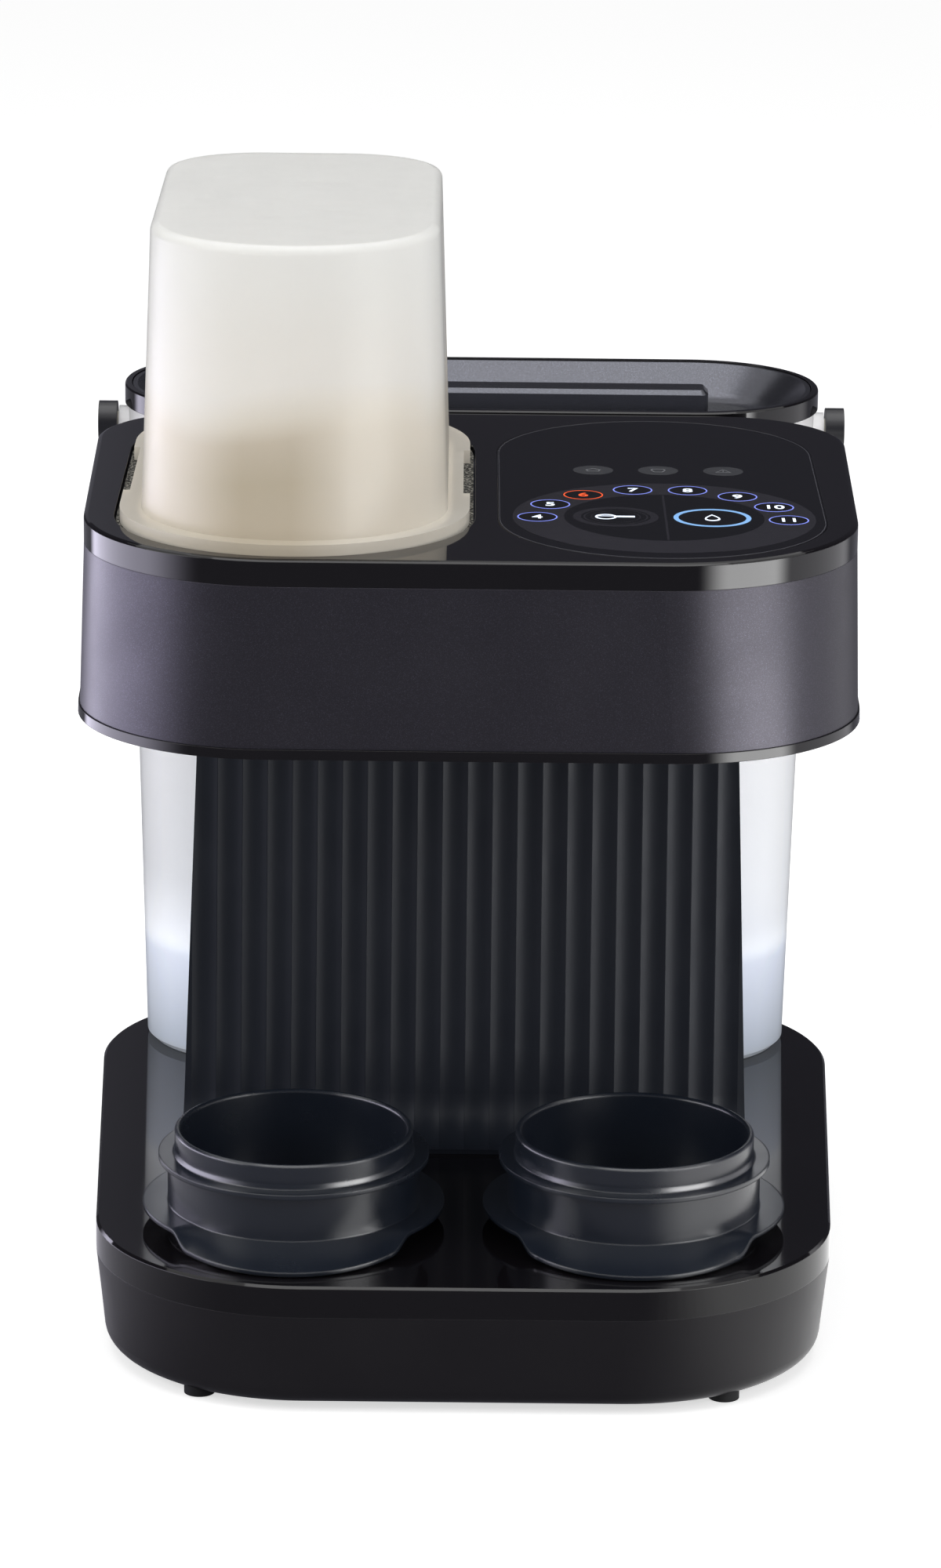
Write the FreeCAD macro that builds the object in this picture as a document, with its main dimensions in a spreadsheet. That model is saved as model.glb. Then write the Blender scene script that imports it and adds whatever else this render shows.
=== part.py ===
import FreeCAD, Part
import math
import os
import Sketcher

# A countertop machine that makes up baby formula. It stands on +Z up, with its front facing -Y.
# The origin lies on the surface it stands on, under the middle of the whole machine.

DOCUMENT = FreeCAD.newDocument("FormulaMaker")
SHEET = DOCUMENT.addObject("Spreadsheet::Sheet", "Sizes")
V = FreeCAD.Vector
SUB_PARTS = []

# Every driving dimension in millimetres or degrees: alias, number, meaning.
SIZES = [
    ("wall", 2.6, "moulding wall"),
    ("gap", 0.3, "clearance round pieces that lift off"),
    ("running", 0.06, "radial clearance of a turning shaft"),
    # base
    ("base_front", -150.5, "front face of the base"),
    ("base_depth", 291.5, "base, front to rear"),
    ("base_front_half", 115.4, "half width where the front corners end"),
    ("base_rear_half", 122.6, "half width where the rear corners begin"),
    ("base_front_corner", 66.0, "front corner radius of the base"),
    ("base_rear_corner", 67.0, "rear corner radius of the base"),
    ("pan_low", 2.0, "underside of the pan"),
    ("skirt_low", 32.0, "seam between the pan and the deck's skirt"),
    ("deck_top", 42.0, "top of the deck"),
    ("pan_lean", 6.0, "degrees that the pan's sides draw in"),
    ("pan_edge", 6.0, "rounding of the pan's bottom edge"),
    ("pan_cavity_lean", 16.0, "degrees that the pan's hollow draws in"),
    ("deck_edge", 0.8, "edge of the deck and of the head's top panel"),
    ("post_radius", 5.0, "posts in the pan that carry the deck"),
    ("post_inward", 22.0, "posts inward of the feet, both ways"),
    ("foot_radius", 4.8, "rubber foot"),
    ("snug", 0.1, "clearance of a piece pushed into its seat"),
    ("foot_sink", 1.5, "depth of a foot in its pocket"),
    ("foot_spread", 81.0, "feet either side of the middle"),
    ("foot_front", 19.5, "front feet behind the front face"),
    ("foot_rear", 30.0, "rear feet before the rear face"),
    ("gland_x", -45.0, "mains gland beside the middle"),
    ("gland_z", 19.0, "height of the mains gland"),
    ("gland_radius", 5.9, "mains gland, outside"),
    ("gland_bore", 3.4, "mains gland, bore"),
    ("gland_long", 7.0, "length of the mains gland"),
    # bottle holders
    ("holder_apart", 53.3, "holder centres either side of the middle"),
    ("holder_back", 62.4, "holder centres behind the base's front face"),
    ("holder_top", 72.0, "rim of a holder"),
    ("holder_rim", 37.3, "outer radius of the rim"),
    ("holder_flange", 42.4, "radius of the middle flange"),
    ("holder_flange_high", 64.2, "top of the middle flange"),
    ("holder_body", 39.5, "outer radius of the body"),
    ("holder_skirt", 47.3, "radius of the lower flange"),
    ("holder_skirt_high", 48.4, "top of the lower flange"),
    ("holder_wall", 2.0, "wall of a holder"),
    ("flange_edge", 1.6, "thickness of the middle flange"),
    ("skirt_edge", 1.3, "thickness of the lower flange and of the tongue"),
    ("holder_round", 0.7, "rounding of a holder's rim"),
    ("neck_flare", 0.5, "how far the rim's neck widens to the middle flange"),
    ("root", 1.0, "how far a flange or tongue reaches into a holder's wall"),
    ("tongue_half", 37.0, "degrees of the front tongue either side"),
    ("shoulder", 15.0, "degrees over which a shoulder drops to the tongue"),
    ("tongue_reach", 55.0, "axis to the tongue's lip"),
    ("tongue_round", 40.0, "radius of the tongue's lip seen from above"),
    ("plinth_high", 2.0, "locating plinth on the deck"),
    # column
    ("column_foot_half", 91.7, "half width of the column at the deck"),
    ("column_top_half", 86.5, "half width of the column under the head"),
    ("column_rear", 51.0, "rear face of the column's side walls"),
    ("panel_foot", -13.7, "front face of the splashback at the deck"),
    ("panel_head", 11.4, "front face of the splashback under the head"),
    ("panel_thick", 4.0, "splashback, crest to back"),
    ("flute_pitch", 8.1, "distance between crests"),
    ("flute_deep", 0.7, "depth of a flute"),
    ("flute_land", 0.25, "narrow crest left between two flutes"),
    ("cove_radius", 16.0, "cove where the splashback meets the deck"),
    ("cove_toe", 1.5, "height of the cove's toe on the deck"),
    ("column_corner", 6.0, "rear corner radius of the column"),
    ("column_edge", 0.4, "front edge radius of the column's side walls"),
    ("column_front_open", 3.0, "how far the hollow runs on into the splashback's seat"),
    # head
    ("head_low", 208.8, "underside of the head"),
    ("lip_high", 3.0, "lower lip"),
    ("trim_low", 261.0, "seam between the band and the top panel's skirt"),
    ("head_top", 269.3, "top of the head"),
    ("head_front", -150.2, "front of the head at its top"),
    ("head_rear", 55.8, "rear of the head"),
    ("head_front_half", 117.2, "half width where the front corners end"),
    ("head_rear_half", 119.4, "half width where the rear corners begin"),
    ("head_front_corner", 61.0, "front corner radius of the head"),
    ("head_rear_corner", 40.0, "rear corner radius of the head"),
    ("head_flare", 1.6, "how far the head widens, top to bottom"),
    ("lip_proud", 0.5, "lower lip outside the band"),
    ("rib_high", 5.0, "locating rib of the under cover"),
    ("rib_thick", 1.8, "thickness of that rib"),
    ("duct_half", 64.0, "half width of the duct between column and head"),
    ("duct_front", 20.0, "front of the duct"),
    ("duct_rear", 44.0, "rear of the duct"),
    ("plate_thick", 4.5, "top panel"),
    # touch panel
    ("glass_middle", 58.0, "touch glass centre line"),
    ("glass_half", 50.0, "half width of the touch glass"),
    ("glass_front", -144.3, "front end of the touch glass"),
    ("glass_rear", 46.2, "rear end of the touch glass"),
    ("glass_thick", 1.3, "touch glass"),
    ("glass_gap", 0.2, "clearance round the touch glass"),
    ("glass_ledge", 5.0, "ledge that the touch glass lies on"),
    ("board_thick", 1.6, "circuit boards"),
    ("board_inset", 3.0, "touch board inside the glass's outline"),
    # hopper
    ("hopper_middle", -53.4, "hopper centre line"),
    ("recess_half", 54.7, "half width of the hopper recess"),
    ("recess_front", -146.5, "front end of the recess"),
    ("recess_rear", 50.5, "rear end of the recess"),
    ("recess_deep", 3.0, "depth of the recess's ledge"),
    ("recess_edge", 0.5, "edge of the hopper recess"),
    ("mouth_inset", 5.2, "ledge round the recess's mouth"),
    ("well_floor", 234.8, "underside of the hopper well"),
    ("well_wall", 2.0, "wall of the hopper well"),
    ("well_side", 1.5, "side wall of the hopper well, and its flange beyond"),
    ("gasket_thick", 1.5, "gasket under the hopper flange"),
    ("gasket_inset", 0.6, "gasket inside the recess's outline"),
    ("gasket_mouth", 7.0, "gasket's opening inside the recess's outline"),
    ("flange_inset", 1.7, "hopper flange inside the recess's outline"),
    ("flange_thick", 4.2, "hopper flange"),
    ("notch_front", -74.0, "front end of the flange's side notches"),
    ("notch_rear", -14.0, "rear end of the flange's side notches"),
    ("notch_deep", 2.0, "depth of the side notches"),
    ("tub_top", 359.5, "top of the hopper tub"),
    ("tub_half", 46.5, "half width of the tub at its flange"),
    ("tub_front", -138.8, "front of the tub at its flange"),
    ("tub_rear", 32.5, "rear of the tub at its flange"),
    ("tub_lean", 2.0, "how far the tub's walls lean inward, in degrees"),
    ("tub_front_corner", 45.5, "front corner radius of the tub's foot"),
    ("tub_rear_corner", 33.0, "rear corner radius of the tub's foot"),
    ("tub_wall", 2.0, "wall of the tub"),
    ("tub_edge", 2.8, "rounding of the tub's top edge"),
    # dosing
    ("tray_floor", 3.0, "floor of the dosing tray"),
    ("tray_deck", 258.0, "level of the wheel chamber's mouth"),
    ("tray_wall", 2.0, "wall of the tray's basin"),
    ("wheel_radius", 38.0, "dosing wheel"),
    ("pocket_circle", 27.0, "radius of the circle of pockets"),
    ("pocket_radius", 8.5, "one powder pocket"),
    ("wheel_sink", 0.5, "wheel below the tray's deck"),
    ("baffle_over", 1.2, "baffle beyond a pocket, all round"),
    ("baffle_front", 18.0, "baffle in front of the wheel"),
    ("baffle_thick", 2.0, "baffle plate"),
    ("spindle_radius", 4.0, "agitator spindle"),
    ("spindle_high", 9.5, "agitator spindle above the wheel"),
    ("arm_half", 32.0, "agitator arm, half length"),
    ("arm_wide", 4.0, "agitator arm, width"),
    ("arm_thick", 3.0, "agitator arm, height"),
    ("outlet_radius", 9.5, "powder outlet"),
    ("hub_radius", 6.0, "hub of the dosing wheel"),
    ("dog_radius", 3.6, "drive dog, across its corners"),
    ("dog_high", 7.0, "height of the drive dog"),
    ("dog_neck", 3.9, "round neck under the dog"),
    ("shaft_radius", 3.0, "drive shaft"),
    ("gear_module", 1.1, "gear size per tooth"),
    ("gear_low", 228.0, "underside of the gears"),
    ("gear_thick", 5.0, "face width of the gears"),
    ("motor_radius", 11.0, "dosing motor"),
    ("motor_shaft", 1.5, "radius of the motor shaft"),
    ("motor_shaft_long", 9.0, "motor shaft below the pinion"),
    ("drive_boss_wall", 2.4, "wall of the boss that the drive shaft turns in"),
    ("chute_wall", 2.0, "wall of the powder chute"),
    ("chute_low", 207.4, "lower end of the chute and of the nozzle"),
    ("chute_hole", 12.0, "radius of the chute's hole in the cover"),
    ("collar_wide", 2.0, "collar of the chute beyond its hole"),
    ("collar_thick", 1.5, "that collar"),
    # water works
    ("nozzle_radius", 6.0, "water nozzle"),
    ("nozzle_bore", 1.6, "bore of the nozzle and of the tank socket"),
    ("nozzle_flange", 9.0, "radius of the nozzle's flange"),
    ("spigot_radius", 4.0, "spigot above the nozzle's flange"),
    ("spigot_high", 3.0, "height of that spigot"),
    ("tube_radius", 3.0, "water tubes"),
    ("bend_radius", 8.0, "bends of the water tubes"),
    ("works_y", 26.0, "line of the pump and the heater"),
    ("pump_x", -58.0, "pump beside the middle"),
    ("pump_long", 34.0, "pump case, left to right"),
    ("pump_deep", 28.0, "pump case, front to rear"),
    ("pump_high", 36.0, "pump case, height"),
    ("drum_radius", 11.0, "pump motor"),
    ("drum_high", 30.0, "pump motor, height"),
    ("heater_x", 52.0, "heater beside the middle"),
    ("heater_radius", 16.0, "heater"),
    ("heater_high", 108.0, "heater, height"),
    ("pipe_high", 18.0, "pipe from pump to heater above the deck"),
    ("board_half", 40.0, "half width of the control board"),
    ("board_low", 60.0, "control board above the deck"),
    ("board_high", 80.0, "control board, height"),
    ("tube_drop", 17.0, "inlet tube above the pan"),
    ("tube_rise", 16.0, "outlet tube above the head's seam"),
    # tank
    ("tank_half", 114.5, "half width of the tank under its rim"),
    ("tank_front", 57.3, "front of the tank under its rim"),
    ("tank_rear", 142.0, "rear of the tank under its rim"),
    ("tank_lean", 1.42, "how far the tank's walls lean inward to its floor, in degrees"),
    ("tank_corner", 41.0, "corner radius of the tank under its rim"),
    ("tank_wall", 2.2, "wall of the tank"),
    ("tank_wall_top", 263.5, "top of the tank's wall"),
    ("tank_edge", 2.0, "bottom edge of the tank"),
    ("rim_high", 6.5, "rim band above the wall"),
    ("rim_proud", 1.2, "rim band outside the wall"),
    ("rim_wall", 2.3, "upper wall of the rim band"),
    ("rim_edge", 0.5, "top edge of the rim band"),
    ("ledge_wide", 4.0, "ledge in the rim for the lid"),
    ("ledge_thick", 1.6, "thickness of that ledge"),
    ("dish_floor", 258.6, "floor of the lid's dish"),
    ("dish_slope", 12.0, "how far the dish narrows to its floor"),
    ("dish_edge", 1.6, "lid's rim round its dish"),
    ("dish_cove", 11.0, "cove round the floor of the dish"),
    ("bar_corner", 3.0, "corner radius of the bar"),
    ("bar_edge", 1.5, "edge of the bar's top"),
    ("bar_below", 0.2, "bar below the lid's rim"),
    ("lid_thick", 2.0, "lid wall"),
    ("bar_half", 79.0, "half length of the lid's bar"),
    ("bar_wide", 13.0, "width of the lid's bar"),
    # tank valve
    ("boss_radius", 16.0, "outlet boss in the tank's floor"),
    ("boss_top", 56.0, "top of the outlet boss"),
    ("boss_plate", 3.7, "top plate of the boss"),
    ("socket_radius", 11.4, "water socket on the deck"),
    ("socket_top", 50.0, "top of the water socket"),
    ("seal_half", 1.2, "half height of the seal's groove, and its depth"),
    ("seal_proud", 0.7, "seal outside the socket"),
    ("valve_hole", 5.5, "hole through the outlet boss"),
    ("valve_lift", 3.0, "travel of the tank valve"),
    ("stem_high", 12.0, "valve stem above its head"),
    ("stem_radius", 2.5, "valve stem above its head"),
    ("pin_thin", 2.0, "valve pin below its head"),
    ("valve_head", 8.5, "radius of the valve's head"),
    ("valve_thick", 2.0, "thickness of the valve's head"),
    ("cage_radius", 13.0, "valve cage"),
    ("cage_wall", 1.5, "wall of the cage"),
    ("cage_hole", 3.2, "hole that guides the stem"),
    ("cage_top", 2.0, "thickness of the cage's top"),
    ("window_half", 5.0, "half width of the cage's windows"),
    # bail handle
    ("bail_pivot_y", 100.0, "pivot behind the origin"),
    ("bail_pivot_z", 255.6, "height of the pivot"),
    ("bail_inner", 118.4, "inner face of an arm"),
    ("bail_wide", 6.2, "width of an arm"),
    ("bail_deep", 10.0, "thickness of the bail"),
    ("bail_reach", 72.5, "pivot to the middle of the grip"),
    ("bail_fold", 50.0, "degrees that the folded bail hangs below level"),
    ("bail_corner", 34.0, "outer corner radius of the bail"),
    ("ear_radius", 7.0, "ear round the pivot"),
    ("pin_radius", 3.5, "pivot pin"),
    ("ear_boss", 2.0, "boss round a pin, beyond its radius"),
]

# How many of each repeated feature.
GEAR_TEETH = 24
PINION_TEETH = 12
FLUTES = 22
POCKETS = 6


class Size:
    """A dimension that carries its number and the sheet expression that gives it."""

    def __init__(self, value, text):
        self.value = float(value)
        self.text = text

    def __add__(self, other):
        other = as_size(other)
        return Size(self.value + other.value, f"({self.text} + {other.text})")

    def __radd__(self, other):
        return as_size(other) + self

    def __sub__(self, other):
        other = as_size(other)
        return Size(self.value - other.value, f"({self.text} - {other.text})")

    def __rsub__(self, other):
        return as_size(other) - self

    def __mul__(self, other):
        other = as_size(other)
        return Size(self.value * other.value, f"({self.text} * {other.text})")

    def __rmul__(self, other):
        return as_size(other) * self

    def __truediv__(self, other):
        other = as_size(other)
        return Size(self.value / other.value, f"({self.text} / {other.text})")

    def __neg__(self):
        return Size(-self.value, f"(-1 * {self.text})")


def as_size(value):
    """A plain number becomes a Size whose expression is that number."""
    if isinstance(value, Size):
        return value
    return Size(value, repr(float(value)))


def fill_sheet():
    """Writes every driving dimension into the spreadsheet, with its alias and meaning."""
    for row, (alias, number, meaning) in enumerate(SIZES, start=1):
        SHEET.set(f"A{row}", meaning)
        SHEET.set(f"B{row}", str(number))
        SHEET.setAlias(f"B{row}", alias)
    DOCUMENT.recompute()


def size(alias):
    """The named dimension from the sheet."""
    return Size(float(SHEET.get(alias)), f"Sizes.{alias}")


# ---------------------------------------------------------------- sketches

def new_body(name):
    """A sub-part made of sketches and features."""
    body = DOCUMENT.addObject("PartDesign::Body", name)
    body.Label = name
    SUB_PARTS.append(body)
    return body


def origin_plane(body, role):
    """One of the body's own origin planes."""
    return next(feature for feature in body.Origin.OriginFeatures if feature.Role == role)


def sketch(body, name, role="XY_Plane", level=0):
    """An empty sketch on an origin plane, moved along the plane's normal to a level."""
    drawing = body.newObject("Sketcher::SketchObject", f"{body.Name}_{name}")
    drawing.AttachmentSupport = (origin_plane(body, role), [""])
    drawing.MapMode = "FlatFace"
    drawing.setExpression("AttachmentOffset.Base.z", as_size(level).text)
    return drawing


def hold(drawing, kind, piece, *ends_and_size):
    """Adds one dimension to a sketch and binds it to its expression."""
    *ends, value = ends_and_size
    value = as_size(value)
    if kind in ("DistanceX", "DistanceY"):
        index = drawing.addConstraint(Sketcher.Constraint(kind, -1, 1, piece, ends[0], value.value))
    else:
        index = drawing.addConstraint(Sketcher.Constraint(kind, piece, value.value))
    drawing.setExpression(f"Constraints[{index}]", value.text)


def polygon(drawing, corners):
    """A closed outline of straight sides through the corners."""
    first = drawing.GeometryCount
    count = len(corners)
    points = [V(as_size(x).value, as_size(y).value, 0) for x, y in corners]
    for number in range(count):
        drawing.addGeometry(Part.LineSegment(points[number], points[(number + 1) % count]), False)
    for number in range(count):
        after = first + (number + 1) % count
        drawing.addConstraint(Sketcher.Constraint("Coincident", first + number, 2, after, 1))
    for number, (x, y) in enumerate(corners):
        hold(drawing, "DistanceX", first + number, 1, x)
        hold(drawing, "DistanceY", first + number, 1, y)


def box_outline(drawing, left, right, low, high):
    """A rectangle between two pairs of sides."""
    polygon(drawing, [(left, low), (right, low), (right, high), (left, high)])


def circle(drawing, x, y, radius):
    """A circle at a point."""
    x, y, radius = as_size(x), as_size(y), as_size(radius)
    ring = drawing.addGeometry(Part.Circle(V(x.value, y.value, 0), V(0, 0, 1), radius.value), False)
    hold(drawing, "DistanceX", ring, 3, x)
    hold(drawing, "DistanceY", ring, 3, y)
    hold(drawing, "Radius", ring, radius)


class Plan:
    """A plan outline with rounded corners that may be wider at the rear than at the front."""

    def __init__(self, middle, front_half, rear_half, front, rear, front_corner, rear_corner):
        self.middle = as_size(middle)
        self.front_half = as_size(front_half)
        self.rear_half = as_size(rear_half)
        self.front = as_size(front)
        self.rear = as_size(rear)
        self.front_corner = as_size(front_corner)
        self.rear_corner = as_size(rear_corner)

    def inset(self, amount):
        """The same outline, drawn in by an amount all round."""
        return Plan(self.middle, self.front_half - amount, self.rear_half - amount,
                    self.front + amount, self.rear - amount,
                    self.front_corner - amount, self.rear_corner - amount)

    def draw(self, drawing):
        """Draws four sides and four tangent corner arcs, and dimensions them."""
        mid, a, b = self.middle.value, self.front_half.value, self.rear_half.value
        y0, y1 = self.front.value, self.rear.value
        r, q = self.front_corner.value, self.rear_corner.value
        lean = math.atan2(b - a, (y1 - q) - (y0 + r))
        ya = y0 + r - r * math.sin(lean)
        yb = y1 - q - q * math.sin(lean)
        front_centre = a - r * math.cos(lean)
        rear_centre = b - q * math.cos(lean)
        sides = [
            (V(mid - front_centre, y0, 0), V(mid + front_centre, y0, 0)),
            (V(mid + a, ya, 0), V(mid + b, yb, 0)),
            (V(mid + rear_centre, y1, 0), V(mid - rear_centre, y1, 0)),
            (V(mid - b, yb, 0), V(mid - a, ya, 0)),
        ]
        corners = [
            (mid + front_centre, y0 + r, r, -0.5 * math.pi, -lean),
            (mid + rear_centre, y1 - q, q, -lean, 0.5 * math.pi),
            (mid - rear_centre, y1 - q, q, 0.5 * math.pi, math.pi + lean),
            (mid - front_centre, y0 + r, r, math.pi + lean, 1.5 * math.pi),
        ]
        lines = [drawing.addGeometry(Part.LineSegment(start, end), False) for start, end in sides]
        arcs = []
        for x, y, radius, start, end in corners:
            whole = Part.Circle(V(x, y, 0), V(0, 0, 1), radius)
            arcs.append(drawing.addGeometry(Part.ArcOfCircle(whole, start, end), False))
        for number in range(4):
            after = lines[(number + 1) % 4]
            drawing.addConstraint(Sketcher.Constraint("Tangent", lines[number], 2, arcs[number], 1))
            drawing.addConstraint(Sketcher.Constraint("Tangent", arcs[number], 2, after, 1))
        drawing.addConstraint(Sketcher.Constraint("Horizontal", lines[0]))
        drawing.addConstraint(Sketcher.Constraint("Horizontal", lines[2]))
        radii = (self.front_corner, self.rear_corner, self.rear_corner, self.front_corner)
        for arc, radius in zip(arcs, radii):
            hold(drawing, "Radius", arc, radius)
        hold(drawing, "DistanceY", lines[0], 1, self.front)
        hold(drawing, "DistanceY", lines[2], 1, self.rear)
        hold(drawing, "DistanceX", lines[1], 1, self.middle + self.front_half)
        hold(drawing, "DistanceX", lines[1], 2, self.middle + self.rear_half)
        hold(drawing, "DistanceX", lines[3], 2, self.middle - self.front_half)
        hold(drawing, "DistanceX", lines[3], 1, self.middle - self.rear_half)


# ---------------------------------------------------------------- features

def finish_feature(feature, **numbers):
    """Binds the named numbers of a feature, recomputes, and makes sure that it worked."""
    for name, value in numbers.items():
        feature.setExpression(name, as_size(value).text)
    DOCUMENT.recompute()
    if "Invalid" in feature.State or "Error" in feature.State or feature.Shape.isNull():
        raise RuntimeError(f"{feature.Name} failed: {feature.State}")
    return feature


def pad(body, drawing, length, **numbers):
    """Adds material from a sketch, along its normal."""
    feature = body.newObject("PartDesign::Pad", f"{drawing.Name}_pad")
    feature.Profile = drawing
    return finish_feature(feature, Length=length, **numbers)


def pad_both_ways(body, drawing, length):
    """Adds material from a sketch, half to each side of it."""
    feature = body.newObject("PartDesign::Pad", f"{drawing.Name}_pad")
    feature.Profile = drawing
    feature.Midplane = True
    return finish_feature(feature, Length=length)


def pocket(body, drawing, length, upward=False, both_ways=False, **numbers):
    """Cuts a sketch into the body, against its normal unless it goes upward."""
    before = body.Shape.Volume
    feature = body.newObject("PartDesign::Pocket", f"{drawing.Name}_pocket")
    feature.Profile = drawing
    feature.Reversed = upward
    feature.Midplane = both_ways
    finish_feature(feature, Length=length, **numbers)
    if body.Shape.Volume >= before - 0.001:
        raise RuntimeError(f"{feature.Name} cuts nothing")
    return feature


def loft(body, name, plans, cut=False):
    """Joins plan outlines at their levels with straight sides, or cuts that form away."""
    kind = "PartDesign::SubtractiveLoft" if cut else "PartDesign::AdditiveLoft"
    drawings = []
    for number, (level, plan) in enumerate(plans):
        drawing = sketch(body, f"{name}_{number}", level=level)
        plan.draw(drawing)
        drawings.append(drawing)
    DOCUMENT.recompute()
    before = body.Shape.Volume if cut else 0.0
    feature = body.newObject(kind, f"{body.Name}_{name}")
    feature.Profile = drawings[0]
    feature.Sections = drawings[1:]
    feature.Ruled = True
    finish_feature(feature)
    if cut and body.Shape.Volume >= before - 0.001:
        raise RuntimeError(f"{feature.Name} cuts nothing")
    return feature


def raise_plan(body, name, plan, low, high):
    """Pads a plan outline from one level to another."""
    drawing = sketch(body, name, level=low)
    plan.draw(drawing)
    return pad(body, drawing, as_size(high) - low)


def cut_plan(body, name, plan, low, high):
    """Cuts a plan outline away from one level up to another."""
    drawing = sketch(body, name, level=low)
    plan.draw(drawing)
    return pocket(body, drawing, as_size(high) - low, upward=True)


def raise_leaning(body, name, plan, level, height, lean, downward=False):
    """Pads a plan outline whose sides draw in by an angle, upward or downward from a level."""
    drawing = sketch(body, name, level=level)
    plan.draw(drawing)
    feature = body.newObject("PartDesign::Pad", f"{drawing.Name}_pad")
    feature.Profile = drawing
    feature.Reversed = downward
    return finish_feature(feature, Length=height, TaperAngle=-as_size(lean))


def cut_leaning(body, name, plan, level, depth, lean, upward=False):
    """Cuts a hollow whose sides draw in by an angle, downward or upward from a level."""
    drawing = sketch(body, name, level=level)
    plan.draw(drawing)
    return pocket(body, drawing, depth, upward=upward, TaperAngle=-as_size(lean))


def raise_disc(body, name, x, y, radius, low, high):
    """Pads a disc from one level to another."""
    drawing = sketch(body, name, level=low)
    circle(drawing, x, y, radius)
    return pad(body, drawing, as_size(high) - low)


def cut_disc(body, name, x, y, radius, low, high):
    """Bores a round hole from one level up to another."""
    drawing = sketch(body, name, level=low)
    circle(drawing, x, y, radius)
    return pocket(body, drawing, as_size(high) - low, upward=True)


def edges_at(shape, level, test=None):
    """Names of the edges that lie wholly at a level and pass a test on their bounds."""
    names = []
    for number, edge in enumerate(shape.Edges, start=1):
        bounds = edge.BoundBox
        if abs(bounds.ZMin - level) < 0.01 and abs(bounds.ZMax - level) < 0.01:
            if test is None or test(bounds):
                names.append(f"Edge{number}")
    return names


def round_edges(body, names, radius, kind="Fillet"):
    """Fillets or chamfers the named edges of the body's last feature."""
    base = body.Tip
    feature = body.newObject(f"PartDesign::{kind}", f"{body.Name}_{kind}{len(body.Group)}")
    feature.Base = (base, names)
    if kind == "Fillet":
        return finish_feature(feature, Radius=radius)
    return finish_feature(feature, Size=radius)


def turned(name, profile, x, y, angle=None):
    """A body of revolution about a vertical axis, from (radius, height) corners."""
    body = new_body(name)
    drawing = sketch(body, "profile", role="XZ_Plane")
    polygon(drawing, profile)
    feature = body.newObject("PartDesign::Revolution", f"{name}_turned")
    feature.Profile = drawing
    feature.ReferenceAxis = (drawing, ["V_Axis"])
    finish_feature(feature, Angle=as_size(360.0 if angle is None else angle))
    place(body, x, y, 0)
    return body


def place(body, x, y, z):
    """Moves a whole sub-part to its place."""
    for axis, value in zip("xyz", (x, y, z)):
        body.setExpression(f"Placement.Base.{axis}", as_size(value).text)
    DOCUMENT.recompute()


def primitive(kind, name, at, **numbers):
    """A plain Part primitive at a place, with its sizes bound to the sheet."""
    solid = DOCUMENT.addObject(f"Part::{kind}", name)
    for key, value in numbers.items():
        solid.setExpression(key, as_size(value).text)
    for axis, value in zip("xyz", at):
        solid.setExpression(f"Placement.Base.{axis}", as_size(value).text)
    return solid


def group_of(name, members):
    """One sub-part made of several separate solids."""
    compound = DOCUMENT.addObject("Part::Compound", name)
    compound.Label = name
    compound.Links = members
    DOCUMENT.recompute()
    SUB_PARTS.append(compound)
    return compound


def single(solid):
    """Registers a primitive or a boolean as a sub-part of its own."""
    solid.Label = solid.Name
    DOCUMENT.recompute()
    SUB_PARTS.append(solid)
    return solid


def minus(name, base, tool):
    """One solid cut by another."""
    cut = DOCUMENT.addObject("Part::Cut", name)
    cut.Base = base
    cut.Tool = tool
    return cut


def together(name, members):
    """Several overlapping solids fused into one."""
    fused = DOCUMENT.addObject("Part::MultiFuse", name)
    fused.Shapes = members
    return fused


# ---------------------------------------------------------------- shared outlines and levels

def base_plan():
    """The base's outline, a little wider at the rear."""
    return Plan(0, size("base_front_half"), size("base_rear_half"), size("base_front"),
                size("base_front") + size("base_depth"),
                size("base_front_corner"), size("base_rear_corner"))


def head_plan(level):
    """The head's outline at a level; it widens downward, but its rear face is upright."""
    share = (size("head_top") - level) / (size("head_top") - size("head_low"))
    flare = share * size("head_flare")
    return Plan(0, size("head_front_half") + flare, size("head_rear_half") + flare,
                size("head_front") - flare, size("head_rear"),
                size("head_front_corner") - flare * 2.0, size("head_rear_corner"))


def recess_plan():
    """The round-ended recess that the hopper sits in."""
    half = size("recess_half")
    corner = half - 0.5
    return Plan(size("hopper_middle"), half, half, size("recess_front"), size("recess_rear"),
                corner, corner)


def glass_plan():
    """The round-ended touch glass."""
    half = size("glass_half")
    corner = half - 0.5
    return Plan(size("glass_middle"), half, half, size("glass_front"), size("glass_rear"),
                corner, corner)


def tub_plan():
    """The hopper tub's outline at its foot."""
    half = size("tub_half")
    return Plan(size("hopper_middle"), half, half, size("tub_front"), size("tub_rear"),
                size("tub_front_corner"), size("tub_rear_corner"))


def tank_top_plan():
    """The tank's outline under its rim."""
    half, corner = size("tank_half"), size("tank_corner")
    return Plan(0, half, half, size("tank_front"), size("tank_rear"), corner, corner)


def rim_plan():
    """The outside of the rim band."""
    return tank_top_plan().inset(-size("rim_proud"))


def holder_y():
    """Centre line of both bottle holders, which is also that of both outlets."""
    return size("base_front") + size("holder_back")


def wheel_y():
    """Axis of the dosing wheel: its pocket circle passes over the outlet."""
    return holder_y() + size("pocket_circle")


def tray_low():
    """Underside of the dosing tray, on the floor of its well."""
    return size("well_floor") + size("well_wall") + size("gap")


def tray_plan():
    """The dosing tray's outline: the tub's inner wall, drawn in."""
    return tub_plan().inset(size("tub_wall") + size("gap") * 2.0)


def pinion_y():
    """Axis of the motor pinion, in mesh with the drive gear."""
    return wheel_y() + size("gear_module") * ((GEAR_TEETH + PINION_TEETH) / 2.0)


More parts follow.
